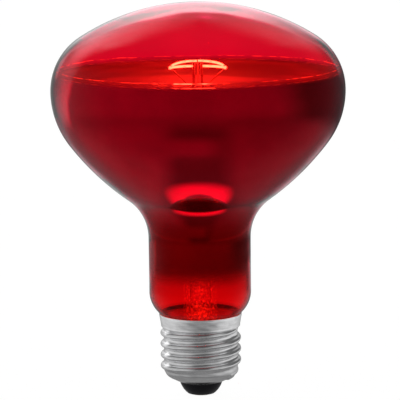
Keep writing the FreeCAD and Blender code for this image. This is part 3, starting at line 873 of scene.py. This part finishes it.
class LAMP_OT_cap_shell(bpy.types.Operator):
    """Build the cap shell: a bent outline turned about the axis, pushed out by the rolled thread"""

    bl_idname = "heat_lamp.cap_shell"
    bl_label = "Cap Shell"

    def execute(self, context):
        sizes = context.scene.lamp_cap
        root = sizes.root_diameter / 2
        skirt = sizes.skirt_diameter / 2
        lip = sizes.lip_diameter / 2
        end = sizes.end_diameter / 2
        skirt_z = RIM_Z - sizes.skirt_height
        band_z = skirt_z + sizes.skirt_step
        corner_z = SHELL_END_Z + (root - end) * tan(sizes.end_angle)
        corners = [(end, SHELL_END_Z), (root, corner_z), (root, skirt_z), (skirt, band_z),
                   (skirt, band_z + sizes.skirt_band), (lip, RIM_Z - sizes.lip_land), (lip, RIM_Z)]
        bends = [sizes.end_fillet, *[sizes.edge] * 4]
        line = resampled(rounded(corners, bends), sizes.along)
        turn = round_steps(sizes.around)
        height = line[:, 1:] + 0 * turn
        plain = line[:, :1] + 0 * turn
        ridge = thread_reach(sizes, turn, height)
        reach = (plain + ridge + np.sqrt((plain - ridge) ** 2 + sizes.blend ** 2)) / 2
        dents = ripples(SHEET_DENTS, turn, height) / len(SHEET_DENTS)
        calm = np.clip((height - SHELL_END_Z) / sizes.dent_rise, 0, 1)
        reach = reach + sizes.dents * dents * calm - sizes.dents
        slope_r, slope_z = np.gradient(reach, axis=0), np.gradient(height, axis=0)
        slope = np.hypot(slope_r, slope_z)
        inner_reach = reach - sizes.wall * slope_z / slope
        inner_height = height + sizes.wall * slope_r / slope
        radius = np.concatenate((reach, inner_reach[::-1]))
        rows = oval(radius, radius, np.concatenate((height, inner_height[::-1])), turn)
        mesh = skin("cap_shell", rows, looped=True, crease=50)
        sheet = rolled_aluminium(context.scene.lamp_finishes)
        piece("cap_sheet", mesh, sheet, "cap_aluminium", "cap_shell")
        return {"FINISHED"}


class LAMP_OT_insulator(bpy.types.Operator):
    """Build the black insulator: its side, foot, seat and bore as one closed outline turned about the axis.

    The side bulges by a parabola over the line from the foot to the shell's end"""

    bl_idname = "heat_lamp.insulator"
    bl_label = "Insulator"

    def execute(self, context):
        sizes = context.scene.lamp_cap
        end, tip = sizes.end_diameter / 2, sizes.insulator_tip / 2
        contact, bore = sizes.contact_diameter / 2, sizes.insulator_bore / 2
        seat = sizes.insulator_seat / 2
        inner_z = SHELL_END_Z + sizes.wall / cos(sizes.end_angle)
        seat_z = inner_z + (seat - end) * tan(sizes.end_angle)
        recess_z = INSULATOR_Z + sizes.contact_recess
        climb = np.linspace(0, 1, 24)[:, None]
        foot, top = np.array([tip, INSULATOR_Z]), np.array([end, SHELL_END_Z])
        out = unit(np.array([top[1] - foot[1], foot[0] - top[0]]))
        side = foot + (top - foot) * climb + out * sizes.insulator_bulge * 4 * climb * (1 - climb)
        rounded_steps = 4
        foot_arc = rounded([(contact, INSULATOR_Z), foot, side[rounded_steps]], sizes.insulator_edge)
        line = np.concatenate((
            [(bore, seat_z), (bore, recess_z), (contact, recess_z)], foot_arc, side[rounded_steps + 1:],
            [(end, inner_z), (seat, seat_z)]))
        mesh = skin("insulator", rings(line, around=128), looped=True, crease=35)
        black = patterned("black_insulator", context.scene.lamp_finishes.insulator, dark=0.7, scale=700.0,
                          roughness=(0.10, 0.2), bump=0.12, depth=0.03 * MM, Specular_IOR_Level=0.2)
        piece("insulator", mesh, black, "black_insulator", "cap_insulator")
        return {"FINISHED"}


class LAMP_OT_contact(bpy.types.Operator):
    """Build the contact plate and its solder: two small outlines turned about the axis.

    The solder's crown falls with the fourth power of the radius, and its rings are lumpy"""

    bl_idname = "heat_lamp.contact"
    bl_label = "Centre Contact"

    def execute(self, context):
        sizes, colours = context.scene.lamp_cap, context.scene.lamp_finishes
        outer, bore = sizes.contact_diameter / 2, sizes.contact_bore / 2
        low, top = sizes.solder_height, INSULATOR_Z + sizes.contact_recess
        lip = arc((outer - sizes.contact_lip, low + sizes.contact_lip), sizes.contact_lip, -pi / 2, 0.0, 10)
        line = np.concatenate(([(bore, top), (bore, low)], lip, [(outer, top)]))
        mesh = skin("contact_plate", rings(line, around=96), looped=True, crease=35)
        brass = patterned("brass_contact", colours.brass, dark=0.8, scale=900.0, roughness=(0.22, 0.38),
                          bump=0.15, depth=0.02 * MM, Metallic=1.0)
        piece("contact_disc", mesh, brass, "brass_contact", "contact_plate")

        around = 72
        across = np.linspace(0, 1, 24)[1:]
        crown = np.column_stack((sizes.solder_diameter / 2 * across, low * across ** 4))
        rows = rings(np.concatenate((crown, [(bore, low + sizes.solder_step), (bore, top)])), around)
        lumps = 1 + ripples(CONTACT_LUMPS, round_steps(around))
        rows[:len(crown), :, :2] *= lumps[:, None]
        mesh = skin("contact_solder", rows, (0, 0, 0), (0, 0, top), crease=50)
        piece("contact_solder_drop", mesh, solder_metal(colours), "solder", "contact_solder")
        return {"FINISHED"}


class LAMP_OT_side_solder(bpy.types.Operator):
    """Build the side drop of solder: a dome over a lumpy round patch of the skirt.

    It is closed along the skirt's surface"""

    bl_idname = "heat_lamp.side_solder"
    bl_label = "Side Solder"

    def execute(self, context):
        sizes = context.scene.lamp_cap
        skirt = sizes.skirt_diameter / 2
        low, high = (np.array(corner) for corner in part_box("side_solder"))
        towards = atan2((low[1] + high[1]) / 2, (low[0] + high[0]) / 2)
        centre_z = RIM_Z - sizes.drop_below_lip
        patch = sqrt(sizes.drop_radius ** 2 - sizes.drop_sink ** 2)
        around, steps = 48, 18
        turn = round_steps(around)
        spread = np.concatenate((np.linspace(0, 1, steps)[1:], np.linspace(1, 0, steps)[:-1]))[:, None]
        out = spread * patch * (1 + ripples(DROP_LUMPS, turn))
        dome = np.sqrt(np.maximum(sizes.drop_radius ** 2 - (spread * patch) ** 2, 0)) - sizes.drop_sink
        lift = np.where(np.arange(len(spread))[:, None] < steps - 1, dome, 0.0)
        reach = skirt + lift
        rows = oval(reach, reach, centre_z + out * np.sin(turn), towards + out * np.cos(turn) / skirt)
        facing = np.array((cos(towards), sin(towards), 0.0))
        crown = facing * (skirt + sizes.drop_radius - sizes.drop_sink) + (0, 0, centre_z)
        mesh = skin("side_solder", rows, crown, facing * skirt + (0, 0, centre_z), crease=60)
        piece("side_solder_drop", mesh, solder_metal(context.scene.lamp_finishes), "solder", "side_solder")
        return {"FINISHED"}


# The stem and what stands on it

class StemPlan:
    """Heights that follow from the stem's sizes."""

    def __init__(self, scene):
        sizes, bulb = scene.lamp_stem, scene.lamp_bulb
        self.rim = bulb.seal_diameter / 2 - bulb.wall
        self.tube = sizes.diameter / 2
        self.bend = self.tube + sizes.flare_radius
        self.tube_z = SEAL_Z + sizes.rim_height + sqrt(sizes.flare_radius ** 2 - (self.bend - self.rim) ** 2)
        self.top_z = self.tube_z + sizes.tube_length
        self.press_z = self.top_z + sizes.press_transition
        self.press_top_z = self.press_z + sizes.press_height
        self.filament_z = bulb_plan().widest_z + scene.lamp_filament.rise
        self.button_z = self.filament_z - sizes.button_drop


def stem_mesh(sizes, plan, around=96):
    """Stem: rings down the press, the tube and its flared foot, and back up the bore.

    In the press the rings are ovals, whose half widths ease from the tube's radius to those of the press. A
    quarter circle is taken off them for the bevel at the top.
    """
    height = np.linspace(plan.press_top_z, plan.top_z, 60)[:, None]
    flat = eased(np.clip((height - plan.top_z) / sizes.press_transition, 0, 1))
    bevel = np.clip((height - plan.press_top_z) / sizes.press_bevel + 1, 0, 1)
    trim = sizes.press_bevel * (1 - np.sqrt(1 - bevel ** 2))
    half_x = plan.tube + flat * (sizes.press_width / 2 - plan.tube) - trim
    half_y = plan.tube + flat * (sizes.press_thickness / 2 - plan.tube) - trim
    press = oval(half_x, half_y, height, round_steps(around))

    steps, foot_steps = 30, 24
    bend = (plan.bend, plan.tube_z)
    foot_end = acos((plan.bend - plan.rim) / sizes.flare_radius)
    outer = np.concatenate((
        upright(plan.tube, plan.top_z, plan.tube_z, steps)[1:],
        arc(bend, sizes.flare_radius, pi, pi + foot_end, foot_steps)[1:], [(plan.rim, SEAL_Z)]))
    bore_rim = plan.rim - sizes.wall
    bore_bend = sizes.flare_radius + sizes.wall
    bore_end = acos((plan.bend - bore_rim) / bore_bend)
    inner = np.concatenate((
        [(bore_rim, SEAL_Z)], arc(bend, bore_bend, pi + bore_end, pi, foot_steps),
        upright(plan.tube - sizes.wall, plan.tube_z, plan.top_z, steps + 1)[1:]))
    rows = np.concatenate((press, rings(outer, around), rings(inner, around)))
    return skin("stem", rows, (0, 0, plan.press_top_z), (0, 0, plan.top_z), crease=50)


def exhaust_mesh(sizes, plan):
    """Exhaust tube: an outline that eases from the drawn tip to the tube, and comes back down the bore."""
    tip_z = SEAL_Z - sizes.exhaust_tail
    drawn_z = tip_z + sizes.exhaust_tip_height
    wide, tip, hole = sizes.exhaust_diameter / 2, sizes.exhaust_tip / 2, sizes.exhaust_bore / 2
    drawn = np.linspace(0, 1, 16)
    line = np.concatenate((
        np.column_stack((tip + (wide - tip) * eased(drawn), tip_z + drawn * sizes.exhaust_tip_height)),
        [(wide, plan.top_z), (hole, plan.top_z), (hole, drawn_z)]))
    closed_share = 0.8
    bore_end_z = tip_z + closed_share * sizes.exhaust_tip_height
    return skin("exhaust", rings(line, around=48), (0, 0, tip_z), (0, 0, bore_end_z), crease=50)


def rod_mesh(sizes, plan):
    """Support rod: a straight outline that runs into the circle of its button."""
    rod, button = sizes.rod_diameter / 2, sizes.button_diameter / 2
    meet = acos(rod / button)
    line = np.concatenate((
        [(rod, plan.press_top_z), (rod, plan.button_z - button * sin(meet) - rod / 2)],
        arc((0.0, plan.button_z), button, -meet, pi / 2, 40)[:-1]))
    poles = (0, 0, plan.press_top_z), (0, 0, plan.button_z + button)
    return skin("rod", rings(line, around=64), *poles, crease=60)


class LAMP_OT_stem(bpy.types.Operator):
    """Build the glass stem with its press, the exhaust tube in it and the support rod on it"""

    bl_idname = "heat_lamp.stem"
    bl_label = "Stem"

    def execute(self, context):
        sizes, plan = context.scene.lamp_stem, StemPlan(context.scene)
        colours = context.scene.lamp_finishes
        glass = clear_glass(colours, "clear_glass", Alpha=0.07, Emission_Strength=1.0)
        tube_glass = clear_glass(colours, "tube_glass", Transmission_Weight=1.0, IOR=1.04,
                                 Emission_Strength=0.1)
        piece("stem_glass", stem_mesh(sizes, plan), glass, "clear_glass", "stem")
        piece("exhaust_glass", exhaust_mesh(sizes, plan), tube_glass, "clear_glass", "exhaust_tube")
        piece("support_rod_glass", rod_mesh(sizes, plan), tube_glass, "clear_glass", "support_rod")
        return {"FINISHED"}


def ring_line(sizes, turn, height):
    """Centre line of the filament: a circle whose front and back halves are folded up about X.

    A point's lift is its distance in front of or behind X times the sine of the fold, eased near X.
    """
    radius = sizes.ring_diameter / 2
    depth = radius * np.sin(turn)
    lift = (np.sqrt(depth ** 2 + sizes.ease ** 2) - sizes.ease) * sin(sizes.fold)
    return oval(radius, radius * cos(sizes.fold), height + lift, turn)


def wire(name, path, radius, reference, material, slot, sides):
    """Round wire along a path, with both ends closed."""
    rows = tube(path, radius, reference, sides)
    piece(name + "_wire", skin(name, rows, path[0], path[-1], crease=50), material, slot, name)


class LAMP_OT_wires(bpy.types.Operator):
    """Build the leads and supports: circles carried along bent runs.

    Each support ends in an eye, one open turn of a helix round the coil"""

    bl_idname = "heat_lamp.wires"
    bl_label = "Leads and Supports"

    def execute(self, context):
        scene = context.scene
        colours = scene.lamp_finishes
        sizes, filament, plan = scene.lamp_stem, scene.lamp_filament, StemPlan(scene)
        nickel = painted_glow_wire("nickel_wire", colours.nickel, 800.0, (0.25, 0.42), colours.wire_painted_glow)
        thin = painted_glow_wire("support_wire", colours.support, 900.0, (0.3, 0.45), colours.wire_painted_glow)
        ring = filament.ring_diameter / 2
        lead = sizes.lead_diameter / 2
        reach = sqrt(ring ** 2 - (filament.gap / 2) ** 2)
        tip_x, tip_y = filament.gap / 2 - lead, -reach * cos(filament.fold)
        tip_z = plan.filament_z + reach * sin(filament.fold) + sizes.lead_tip
        joint_z = plan.press_z + sizes.press_height / 2
        for name, side in (("inner_lead_left", -1), ("inner_lead_right", 1)):
            corners = [(sizes.lead_spacing / 2, 0, joint_z),
                       (sizes.lead_spacing / 2, 0, plan.press_top_z + sizes.lead_straight),
                       (tip_x, tip_y, plan.filament_z - sizes.lead_knee_drop), (tip_x, tip_y, tip_z)]
            path = rounded(np.array(corners) * (side, 1, 1), sizes.lead_bend)
            wire(name, path, lead, (1.0, 0.0, 0.0), nickel, "nickel_wire", sides=12)

        thickness = sizes.support_diameter / 2
        eye = filament.coil_diameter / 2 + sizes.support_clearance + thickness
        eye_turn = 1.9 * pi
        button = np.array((0, 0, plan.button_z))
        for name, turn in (("right", 0.0), ("back", pi / 2), ("left", pi)):
            target = ring_line(filament, np.float64(turn), plan.filament_z)
            way = unit(target - button)
            root = button + way * (sizes.button_diameter / 2 - sizes.support_root)
            along = np.array((-sin(turn), cos(turn), 0.0))
            side = np.cross(along, way)
            loop = np.linspace(0, eye_turn, 40)[:, None]
            hook = target - eye * (way * np.cos(loop) + side * np.sin(loop)) + along * thickness * loop / pi
            path = np.concatenate((np.linspace(root, hook[0], 8)[:-1], hook))
            wire("filament_support_" + name, path, thickness, along, thin, "support_wire", sides=10)
        return {"FINISHED"}


class LAMP_OT_filament(bpy.types.Operator):
    """Build the filament: a wire wound in a helix about the folded ring, between the ends of its gap"""

    bl_idname = "heat_lamp.filament"
    bl_label = "Filament"

    def execute(self, context):
        sizes, plan = context.scene.lamp_filament, StemPlan(context.scene)
        ring = sizes.ring_diameter / 2
        opening = np.arcsin(sizes.gap / 2 / ring)
        turns = int((2 * pi - 2 * opening) * ring / sizes.coil_pitch)
        steps_in_turn = 12
        turn = np.linspace(opening - pi / 2, 3 * pi / 2 - opening, turns * steps_in_turn)
        centre = ring_line(sizes, turn, plan.filament_z)
        along = unit(np.gradient(centre, axis=0))
        across = unit(np.cross(along, (0.0, 0.0, 1.0)))
        above = np.cross(across, along)
        wind = np.linspace(0, 2 * pi * turns, len(turn))[:, None]
        outward = across * np.cos(wind) + above * np.sin(wind)
        path = centre + outward * (sizes.coil_diameter - sizes.wire_diameter) / 2
        rows = tube(path, sizes.wire_diameter / 2, outward, sides=6)
        mesh = skin("filament", rows, path[0], path[-1])
        glow = glowing_wire(context.scene.lamp_finishes)
        coil = piece("filament_coil", mesh, glow, "filament_wire", "filament")
        coil.visible_diffuse = False
        return {"FINISHED"}


class LAMP_OT_inner_finishes(bpy.types.Operator):
    """Finish the pieces that keep their own solids: the basing cement and the leads inside the cap"""

    bl_idname = "heat_lamp.inner_finishes"
    bl_label = "Inner Finishes"

    def execute(self, context):
        colours = context.scene.lamp_finishes
        # The cement and the copper leads carry a painted glow that stands in for the filament's light
        cement = patterned("basing_cement", colours.cement, dark=0.7, scale=1200.0, roughness=(0.8, 0.95),
                           bump=0.4, depth=0.1 * MM, Emission_Color=colours.cement_painted_glow,
                           Emission_Strength=1.0)
        copper = painted_glow_wire("copper_wire", colours.copper, 900.0, (0.25, 0.4), colours.wire_painted_glow, level=0.37)
        for name, material in (("basing_cement", cement), ("centre_lead", copper), ("side_lead", copper)):
            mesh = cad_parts[name].data
            mesh.materials.clear()
            mesh.materials.append(material)
        return {"FINISHED"}


# The stage

# Parts of the studio: where each starts and ends along X, Y or Z of the direction from the lamp
LEFT_X = (-0.8, 0.0)
RIGHT_X = (0.0, 0.7)
DARK_X, DARK_Y = (0.1, 0.5), (-0.5, 0.15)
PANEL_X, PANEL_Y, PANEL_FADE_Y = (0.0, -0.1), (0.44, 0.52), (0.5, 0.95)
BEHIND_X, BEHIND_Y = (-0.1, 0.1), (0.8, 0.97)
HAZE_Y = (0.68, 0.85)
UPPER_LEFT_X, UPPER_RIGHT_X, UPPER_END_X, UPPER_Y = (0.0, -0.3), (0.0, 0.3), (0.35, 0.6), (0.5, 0.75)
OVER_Z, OVER_LIFT, OVER_LIFT_Y = (0.25, 0.5), 0.3, (-0.2, 0.5)
WINDOW_LEFT_X, WINDOW_RIGHT_X = (-0.33, -0.05), (0.05, 0.3)
WINDOW_Y, WINDOW_FADE_Y, WINDOW_Z = (0.84, 0.88), (0.99, 0.87), (-0.05, 0.12)
WINDOW_LEFT_SHARE, WINDOW_RIGHT_SHARE = 0.15, 0.1
ROOF_Z = (0.78, 0.95)
FLOOR_Z, LOW_FLOOR_Z = (-0.5, -0.1), (-0.2, -0.35)
FLOOR_ASIDE_X, FLOOR_ACROSS_X, FAR_FLOOR_Y = (0.2, 0.5), (-0.5, 0.5), (0.6, 0.92)
POOL_X, POOL_Y, POOL_START_Z, POOL_END_Z = (0.0, 0.4), (0.05, -0.1), (-0.45, -0.62), (-0.86, -0.7)
FRONT_ASIDE_X, FRONT_Y = (0.2, 0.7), (0.0, -0.5)

# Sheen of the floor: how far it turns from the eye, the distance over which more is needed, and its sides
SHEEN_SLANT = (0.35, 0.5)
SHEEN_FAR, SHEEN_FAR_SLANT = (60 * MM, 120 * MM), 0.25
SHEEN_ASIDE_X = (0.1, 0.8)


def seen_directly(tree):
    """1 for what the eye sees by itself or through glass, and 0 for what a surface mirrors or scatters."""
    path = node(tree, "LightPath").outputs
    unmirrored = math(tree, "LESS_THAN", path["Glossy Depth"], 0.5)
    unscattered = math(tree, "LESS_THAN", path["Diffuse Depth"], 0.5)
    return product(tree, unmirrored, unscattered)


def through_glass(tree):
    """1 for what is seen through glass, and 0 for the rest."""
    return math(tree, "GREATER_THAN", node(tree, "LightPath").outputs["Transmission Depth"], 0.5)


def without(tree, part):
    """1 where a part is 0, and 0 where it is 1."""
    return math(tree, "SUBTRACT", 1.0, part)


def within(tree, distance, reach, core=0.8):
    """1 round the axis, falling to 0 at a reach, from its core outwards."""
    return ramp(tree, distance, reach, core * reach)


def tent_level(tree, stage, direction):
    """Level of the studio in a direction from the lamp.

    The front is open to a room that is lighter on the left, and the right side is dark. A white panel stands
    behind on the left, and a window with a sharp upper edge behind the lamp, weak at its left and right ends.
    Over it the studio is hazy, lighter to the left and right, and dark up to the roof. The floor gives back
    part of what is over it, has its own levels at the sides and the back, and a pool of light in front.
    """
    x, y, z = axes(tree, direction)
    level = ramp(tree, x, *LEFT_X, stage.left_level, stage.front_level)
    level = blended(tree, ramp(tree, x, *RIGHT_X), level, stage.right_level)
    dark = product(tree, ramp(tree, x, *DARK_X), ramp(tree, y, *DARK_Y))
    level = blended(tree, dark, level, stage.dark_level)
    panel = product(tree, ramp(tree, x, *PANEL_X), ramp(tree, y, *PANEL_Y))
    level = blended(tree, panel, level, ramp(tree, y, *PANEL_FADE_Y, stage.panel_level, stage.behind_level))
    behind = ramp(tree, x, *BEHIND_X, stage.behind_level, stage.shade_level)
    level = blended(tree, ramp(tree, y, *BEHIND_Y), level, behind)

    upper = ramp(tree, y, *HAZE_Y, stage.gap_level, stage.haze_level)
    upper = blended(tree, ramp(tree, x, *UPPER_LEFT_X, smooth=False), upper, stage.upper_left)
    upper = blended(tree, ramp(tree, x, *UPPER_RIGHT_X, smooth=False), upper, stage.upper_right)
    upper = blended(tree, ramp(tree, x, *UPPER_END_X), upper, stage.gap_level)
    over = blended(tree, ramp(tree, y, *UPPER_Y), stage.gap_level, upper)
    rise = math(tree, "SUBTRACT", z, ramp(tree, y, *OVER_LIFT_Y, OVER_LIFT, 0.0))
    level = blended(tree, ramp(tree, rise, *OVER_Z), level, over)

    window = product(tree, ramp(tree, z, *WINDOW_Z), ramp(tree, y, *WINDOW_Y),
                     ramp(tree, x, *WINDOW_RIGHT_X, 1.0, WINDOW_RIGHT_SHARE),
                     ramp(tree, x, *WINDOW_LEFT_X, WINDOW_LEFT_SHARE, 1.0))
    level = blended(tree, window, level, ramp(tree, y, *WINDOW_FADE_Y, stage.window_low, stage.window_high))
    level = blended(tree, ramp(tree, z, *ROOF_Z), level, stage.roof_level)

    level = product(tree, level, ramp(tree, z, *FLOOR_Z, stage.floor_level, 1.0))
    low = ramp(tree, z, *LOW_FLOOR_Z)
    aside = product(tree, ramp(tree, math(tree, "ABSOLUTE", x), *FLOOR_ASIDE_X), low)
    level = blended(tree, aside, level, ramp(tree, x, *FLOOR_ACROSS_X, stage.left_floor, stage.right_floor))
    level = blended(tree, product(tree, ramp(tree, y, *FAR_FLOOR_Y), low), level, stage.far_floor)
    pool = product(tree, ramp(tree, z, *POOL_START_Z), ramp(tree, z, *POOL_END_Z), ramp(tree, y, *POOL_Y),
                   ramp(tree, x, *POOL_X, 1.0, 0.0))
    return blended(tree, pool, level, stage.pool_level)


def light_tent(stage):
    """World of the studio, which is plain white where it is seen directly.

    Bare metal, which is not seen through glass, gets a share of the front's light.
    """
    world = bpy.data.worlds.new("light_tent")
    world.use_nodes = True
    tree = world.node_tree
    direction = node(tree, "TexCoord").outputs["Generated"]
    x, y, _ = axes(tree, direction)
    through = through_glass(tree)
    front = product(tree, ramp(tree, y, *FRONT_Y),
                    ramp(tree, math(tree, "ABSOLUTE", x), *FRONT_ASIDE_X, 1.0, 0.0), without(tree, through))
    level = product(tree, tent_level(tree, stage, direction), blended(tree, front, 1.0, stage.bare_front))
    white = blended(tree, through, 1.0, stage.through_level)
    level = blended(tree, seen_directly(tree), level, white)
    fill(tree, tree.nodes["Background"], Color=WHITE, Strength=level)
    return world


def pale_floor(stage):
    """Floor that is white where it is seen directly, apart from its shadow, and part of the studio elsewhere.

    Where it is mirrored it has a sheen round the lamp at a slant, stronger at the sides, and a level of its
    own close under the cap. An oval spot of the lamp's red light shows there through the glass.
    """
    material = bpy.data.materials.new("pale_floor")
    material.use_nodes = True
    tree = material.node_tree
    tree.nodes.remove(tree.nodes["Principled BSDF"])
    place = position(tree)
    far = vector(tree, "LENGTH", place)["Value"]
    through = through_glass(tree)
    way = vector(tree, "NORMALIZE", vector(tree, "SUBTRACT", place, (0.0, 0.0, stage.lamp_height))[0])[0]
    aside = math(tree, "ABSOLUTE", axes(tree, way)[0])
    facing = node(tree, "LayerWeight").outputs["Facing"]
    slant = math(tree, "SUBTRACT", facing, ramp(tree, far, *SHEEN_FAR, 0.0, SHEEN_FAR_SLANT))
    sheen = product(tree, ramp(tree, slant, *SHEEN_SLANT), within(tree, far, stage.sheen_reach))
    sheen_level = ramp(tree, aside, *SHEEN_ASIDE_X, stage.sheen_front, stage.sheen_side)
    level = blended(tree, sheen, tent_level(tree, stage, way), sheen_level)
    foot = product(tree, within(tree, far, stage.foot_reach), without(tree, through))
    level = blended(tree, foot, level, stage.foot_level)
    level = node(tree, "CombineColor", {"Red": level, "Green": level, "Blue": level}).outputs[0]
    squeezed = vector(tree, "MULTIPLY", place, (stage.spot_oval, 1.0, 1.0))[0]
    squeezed = vector(tree, "LENGTH", squeezed)["Value"]
    spot = product(tree, within(tree, squeezed, stage.spot_reach, core=0.6), through)
    mirrored = node(tree, "Emission", {"Color": tinted(tree, spot, level, stage.spot), "Strength": 1.0})
    grain = ramp(tree, noise(tree, 30.0), *EVEN, 0.97, 1.0)
    lit = node(tree, "BsdfDiffuse", {"Color": tinted(tree, grain, BLACK, scaled(WHITE, stage.floor_shade))})
    glow = blended(tree, through, stage.floor_glow, stage.through_level)
    white = node(tree, "Emission", {"Strength": glow})
    seen = node(tree, "AddShader", {0: lit.outputs[0], 1: white.outputs[0]})
    mixed = node(tree, "MixShader", {0: seen_directly(tree), 1: mirrored.outputs[0], 2: seen.outputs[0]})
    tree.links.new(mixed.outputs[0], tree.nodes["Material Output"].inputs["Surface"])
    return material


class LAMP_OT_stage(bpy.types.Operator):
    """Build the stage: a flat square floor, the light tent and the camera"""

    bl_idname = "heat_lamp.stage"
    bl_label = "Stage"

    def execute(self, context):
        scene, stage = context.scene, context.scene.lamp_stage
        half = stage.floor_width / 2
        corners = np.array([(-1, -1, 0), (1, -1, 0), (1, 1, 0), (-1, 1, 0)]) * half
        mesh = bpy.data.meshes.new("floor")
        mesh.from_pydata(corners.tolist(), [], [(0, 1, 2, 3)])
        mesh.materials.append(pale_floor(stage))
        floor = bpy.data.objects.new("floor", mesh)
        scene.collection.objects.link(floor)
        scene.world = light_tent(stage)

        camera = bpy.data.cameras.new("camera")
        camera.lens = stage.lens
        eye = bpy.data.objects.new("camera", camera)
        scene.collection.objects.link(eye)
        place = Vector((stage.camera_x, -stage.camera_distance, stage.camera_height))
        pitch = Matrix.Rotation(pi / 2 - stage.camera_pitch, 4, "X")
        eye.matrix_world = Matrix.Translation(place) @ pitch @ Matrix.Rotation(-stage.camera_roll, 4, "Z")
        scene.camera = eye
        scene.view_settings.view_transform = "Standard"
        return {"FINISHED"}


class LAMP_PT_build(bpy.types.Panel):
    """Sidebar panel that lists the steps of the build"""

    bl_idname = "LAMP_PT_build"
    bl_label = "Heat Lamp"
    bl_space_type = "VIEW_3D"
    bl_region_type = "UI"
    bl_category = "Heat Lamp"

    def draw(self, context):
        for step in STEPS:
            self.layout.operator(step.bl_idname)


STEPS = (
    LAMP_OT_envelope,
    LAMP_OT_mirror,
    LAMP_OT_cap_shell,
    LAMP_OT_insulator,
    LAMP_OT_contact,
    LAMP_OT_side_solder,
    LAMP_OT_stem,
    LAMP_OT_wires,
    LAMP_OT_filament,
    LAMP_OT_inner_finishes,
    LAMP_OT_stage,
)
CLASSES = (*GROUPS.values(), *STEPS, LAMP_PT_build)


def register():
    """Registers every class and hangs the sizes and finishes on the scene."""
    for made in CLASSES:
        bpy.utils.register_class(made)
    for name, group in GROUPS.items():
        setattr(bpy.types.Scene, name, PointerProperty(type=group))


def unregister():
    """Takes the sizes, finishes and classes away again."""
    for name in GROUPS:
        delattr(bpy.types.Scene, name)
    for made in reversed(CLASSES):
        bpy.utils.unregister_class(made)


def main():
    """Builds the lamp step by step."""
    register()
    for step in STEPS:
        group, name = step.bl_idname.split(".")
        getattr(getattr(bpy.ops, group), name)()


if __name__ == "__main__":
    main()
